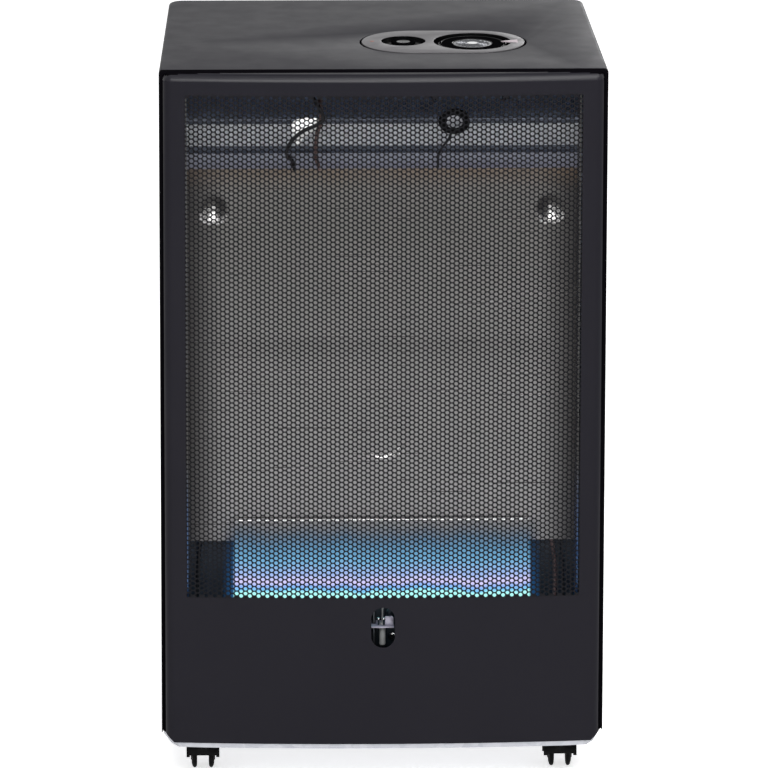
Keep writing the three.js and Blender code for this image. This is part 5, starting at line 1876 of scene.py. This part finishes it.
@dataclass
class Caster:
    """One twin-wheel caster."""

    corner: Corner
    nodes: dict[str, Piece]
    trail: float = 10.0
    wheel_width: float = 6.4
    spacing: float = 18.0
    axle_height: float = 14.7118
    end_rim: float = 11.6  # rim of the hood's outer ends, above the floor at the axle
    middle_rim: float = 13.4
    rim_slope: float = 0.214

    def hood(self, label: str, body: str) -> None:
        """Make the hood, cut low at the back and higher towards the front, so that the wheels show.

        Args:
            label: the corner's name.
            body: the body that the hood moves with.
        """
        x, y = self.corner.value
        axle = y + self.trail
        made = soft_copy(f"hood_{label}", self.nodes[f"caster_hood_{label}"], 0)
        cutters = []
        for name, half, lift in (("ends", 40.0, self.end_rim), ("middle", 13.2, self.middle_rim)):
            line = [(axle + run, lift - run * self.rim_slope) for run in (-50, 50)]
            outline = [*line, (axle + 50, -30), (axle - 50, -30)]
            cutters.append(prism(f"{name}_cutter", outline, x - half, x + half, "yz"))
        carved(made, *cutters)
        bevelled(made, 0.4, 2)
        finish_piece(made, Finishes.NYLON, body, "caster_plastic", f"caster_hood_{label}", shade=35)

    def wheel_profile(self, outer: int) -> list[Pair]:
        """Draw a wheel's section: flat towards the fork, tapering outside to a rounded tread.

        Args:
            outer: 1 where the outer side is at the right, -1 where it is at the left.

        Returns:
            Radius and height of each point.
        """
        w, r = self.wheel_width / 2, self.axle_height
        side = [(2.5, w - 0.4), (4.6, w - 0.4), (5.0, w), (6.6, w), (7.2, w - 0.7), (9.4, w - 0.9),
                (10.0, w - 0.8), (12.2, w - 1.4), (13.5, w - 1.9), (14.3, w - 2.6), (r, w - 3.6)]
        fork = [(r, -w + 2.2), (r - 0.5, -w + 1.0), (r - 1.7, -w + 0.3), (r - 4.0, -w), (2.5, -w)]
        return [(radius, outer * height) for radius, height in side + fork]

    def build(self) -> None:
        """Make the hood and both wheels and dress the stem and axle."""
        label = self.corner.label
        self.hood(label, f"caster_{label}")
        for part in ("stem", "axle"):
            Finishes.CHROME.dress(self.nodes[f"caster_{part}_{label}"])
        x, y = self.corner.value
        for sign, side in ((-1, "left"), (1, "right")):
            node = f"wheel_{label}_{side}"
            at = (x + sign * self.spacing / 2, y + self.trail, self.axle_height)
            wheel = turned(f"tread_{label}_{side}", self.wheel_profile(sign), at, (1, 0, 0), 64)
            finish_piece(wheel, Finishes.TREAD, f"{node}_body", "wheel_rubber", node)


# ------------------------------------------------------------------ studio
@dataclass
class Studio:
    """Floor, lamps and the camera at the photograph's angle."""

    camera_at: Point = (-0.19894, -7.92092, 2.46754)
    pitch: float = 14.9
    yaw: float = 1.479
    roll: float = 0.129
    lens: float = 380.5
    floor_reach: float = 30.0
    floor_lift: float = 0.66  # light that the floor adds to the eye alone

    def camera(self) -> None:
        """Set up the camera."""
        data = bpy.data.cameras.new("camera")
        data.lens = self.lens
        data.sensor_width = 36
        data.clip_end = 60
        made = bpy.data.objects.new("camera", data)
        bpy.context.scene.collection.objects.link(made)
        turn = (Matrix.Rotation(math.radians(-self.yaw), 4, "Z")
                @ Matrix.Rotation(math.radians(90 - self.pitch), 4, "X")
                @ Matrix.Rotation(math.radians(self.roll), 4, "Z"))
        made.matrix_world = Matrix.Translation(self.camera_at) @ turn
        bpy.context.scene.camera = made

    def world(self) -> None:
        """Make the surroundings: white to the eye and in reflections, a plain grey light elsewhere."""
        world = bpy.data.worlds.new("studio")
        world.use_nodes = True
        tree = world.node_tree
        tree.nodes.clear()
        path = add_node(tree, "ShaderNodeLightPath")
        clear = add_node(tree, "ShaderNodeMath", {
            0: path.outputs["Is Camera Ray"], 1: path.outputs["Is Transmission Ray"]}, operation="MAXIMUM")
        seen = add_node(tree, "ShaderNodeMath", {
            0: clear.outputs[0], 1: path.outputs["Is Glossy Ray"]}, operation="MAXIMUM")
        coordinates = add_node(tree, "ShaderNodeTexCoord").outputs["Generated"]
        parts = add_node(tree, "ShaderNodeSeparateXYZ", {"Vector": coordinates})
        sky = add_node(tree, "ShaderNodeMapRange", {
            "Value": parts.outputs[2], "From Min": -0.2, "From Max": 1.0, "To Min": 0.2, "To Max": 0.6})
        strength = add_node(tree, "ShaderNodeMix", {
            0: seen.outputs[0], 2: sky.outputs[0], 3: 1.0}, data_type="FLOAT")
        light = add_node(tree, "ShaderNodeBackground", {
            "Color": (1, 1, 1, 1), "Strength": strength.outputs[0]})
        add_node(tree, "ShaderNodeOutputWorld", {"Surface": light.outputs[0]})
        bpy.context.scene.world = world

    def floor(self) -> None:
        """Lay a pale floor that reads white and keeps a soft shadow."""
        mesh = bpy.data.meshes.new("floor")
        size = self.floor_reach
        corners = [(-size, -size, 0), (size, -size, 0), (size, size, 0), (-size, size, 0)]
        mesh.from_pydata(corners, [], [(0, 1, 2, 3)])
        made = bpy.data.objects.new("floor", mesh)
        bpy.context.scene.collection.objects.link(made)
        material = bpy.data.materials.new("pale_floor")
        material.use_nodes = True
        tree = material.node_tree
        shader = tree.nodes["Principled BSDF"]
        shader.inputs["Base Color"].default_value = (0.86, 0.86, 0.86, 1)
        shader.inputs["Roughness"].default_value = 0.9
        path = add_node(tree, "ShaderNodeLightPath")
        seen = add_node(tree, "ShaderNodeMath", {
            0: path.outputs["Is Camera Ray"], 1: path.outputs["Is Glossy Ray"]}, operation="MAXIMUM")
        lift = add_node(tree, "ShaderNodeMath", {
            0: seen.outputs[0], 1: self.floor_lift}, operation="MULTIPLY")
        shader.inputs["Emission Color"].default_value = (1, 1, 1, 1)
        tree.links.new(lift.outputs[0], shader.inputs["Emission Strength"])
        mesh.materials.append(material)

    def lamp(self, name: str, at: Point, towards: Point, size: Pair, watts: float) -> None:
        """Hang one soft box.

        Args:
            name: its name.
            at: where it hangs, in metres.
            towards: what it faces.
            size: its width and height.
            watts: its power.
        """
        data = bpy.data.lights.new(name, "AREA")
        data.shape = "RECTANGLE"
        data.size, data.size_y = size
        data.energy = watts
        made = bpy.data.objects.new(name, data)
        bpy.context.scene.collection.objects.link(made)
        made.location = at
        made.rotation_euler = (Vector(towards) - Vector(at)).to_track_quat("-Z", "Y").to_euler()

    def build(self) -> None:
        """Set up the whole studio."""
        scene = bpy.context.scene
        scene.view_settings.view_transform = "Standard"
        self.camera()
        self.world()
        self.floor()
        self.lamp("front_box", (-0.1, -3.0, 2.35), (0, 0, 0.5), (1.8, 1.1), 51)
        self.lamp("low_box", (-0.2, -1.5, 0.22), (0, 0, 0.05), (2.2, 0.3), 3)
        self.lamp("edge_box", (0, -1.9, 2.3), (0, 0, 0.72), (2.2, 0.2), 8)
        self.lamp("top_box", (0.8, -1.15, 2.6), (0, 0, 0.6), (2.0, 1.2), 43)
        self.lamp("rear_box", (0.9, 2.8, 1.45), (0.12, 0, 0.72), (0.9, 0.6), 10)


def main() -> None:
    """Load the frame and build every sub-assembly."""
    logging.basicConfig(level=logging.INFO, format="%(name)s: %(message)s")
    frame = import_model()
    nodes = frame["nodes"]
    Studio().build()
    assemblies = [Case(nodes), Controls(), Firebox(nodes), Burner(nodes), PipesAndPilot(nodes)]
    assemblies += [Caster(corner, nodes) for corner in Corner]
    for assembly in assemblies:
        assembly.build()
        LOG.info("%s done", type(assembly).__name__)


if __name__ == "__main__":
    main()
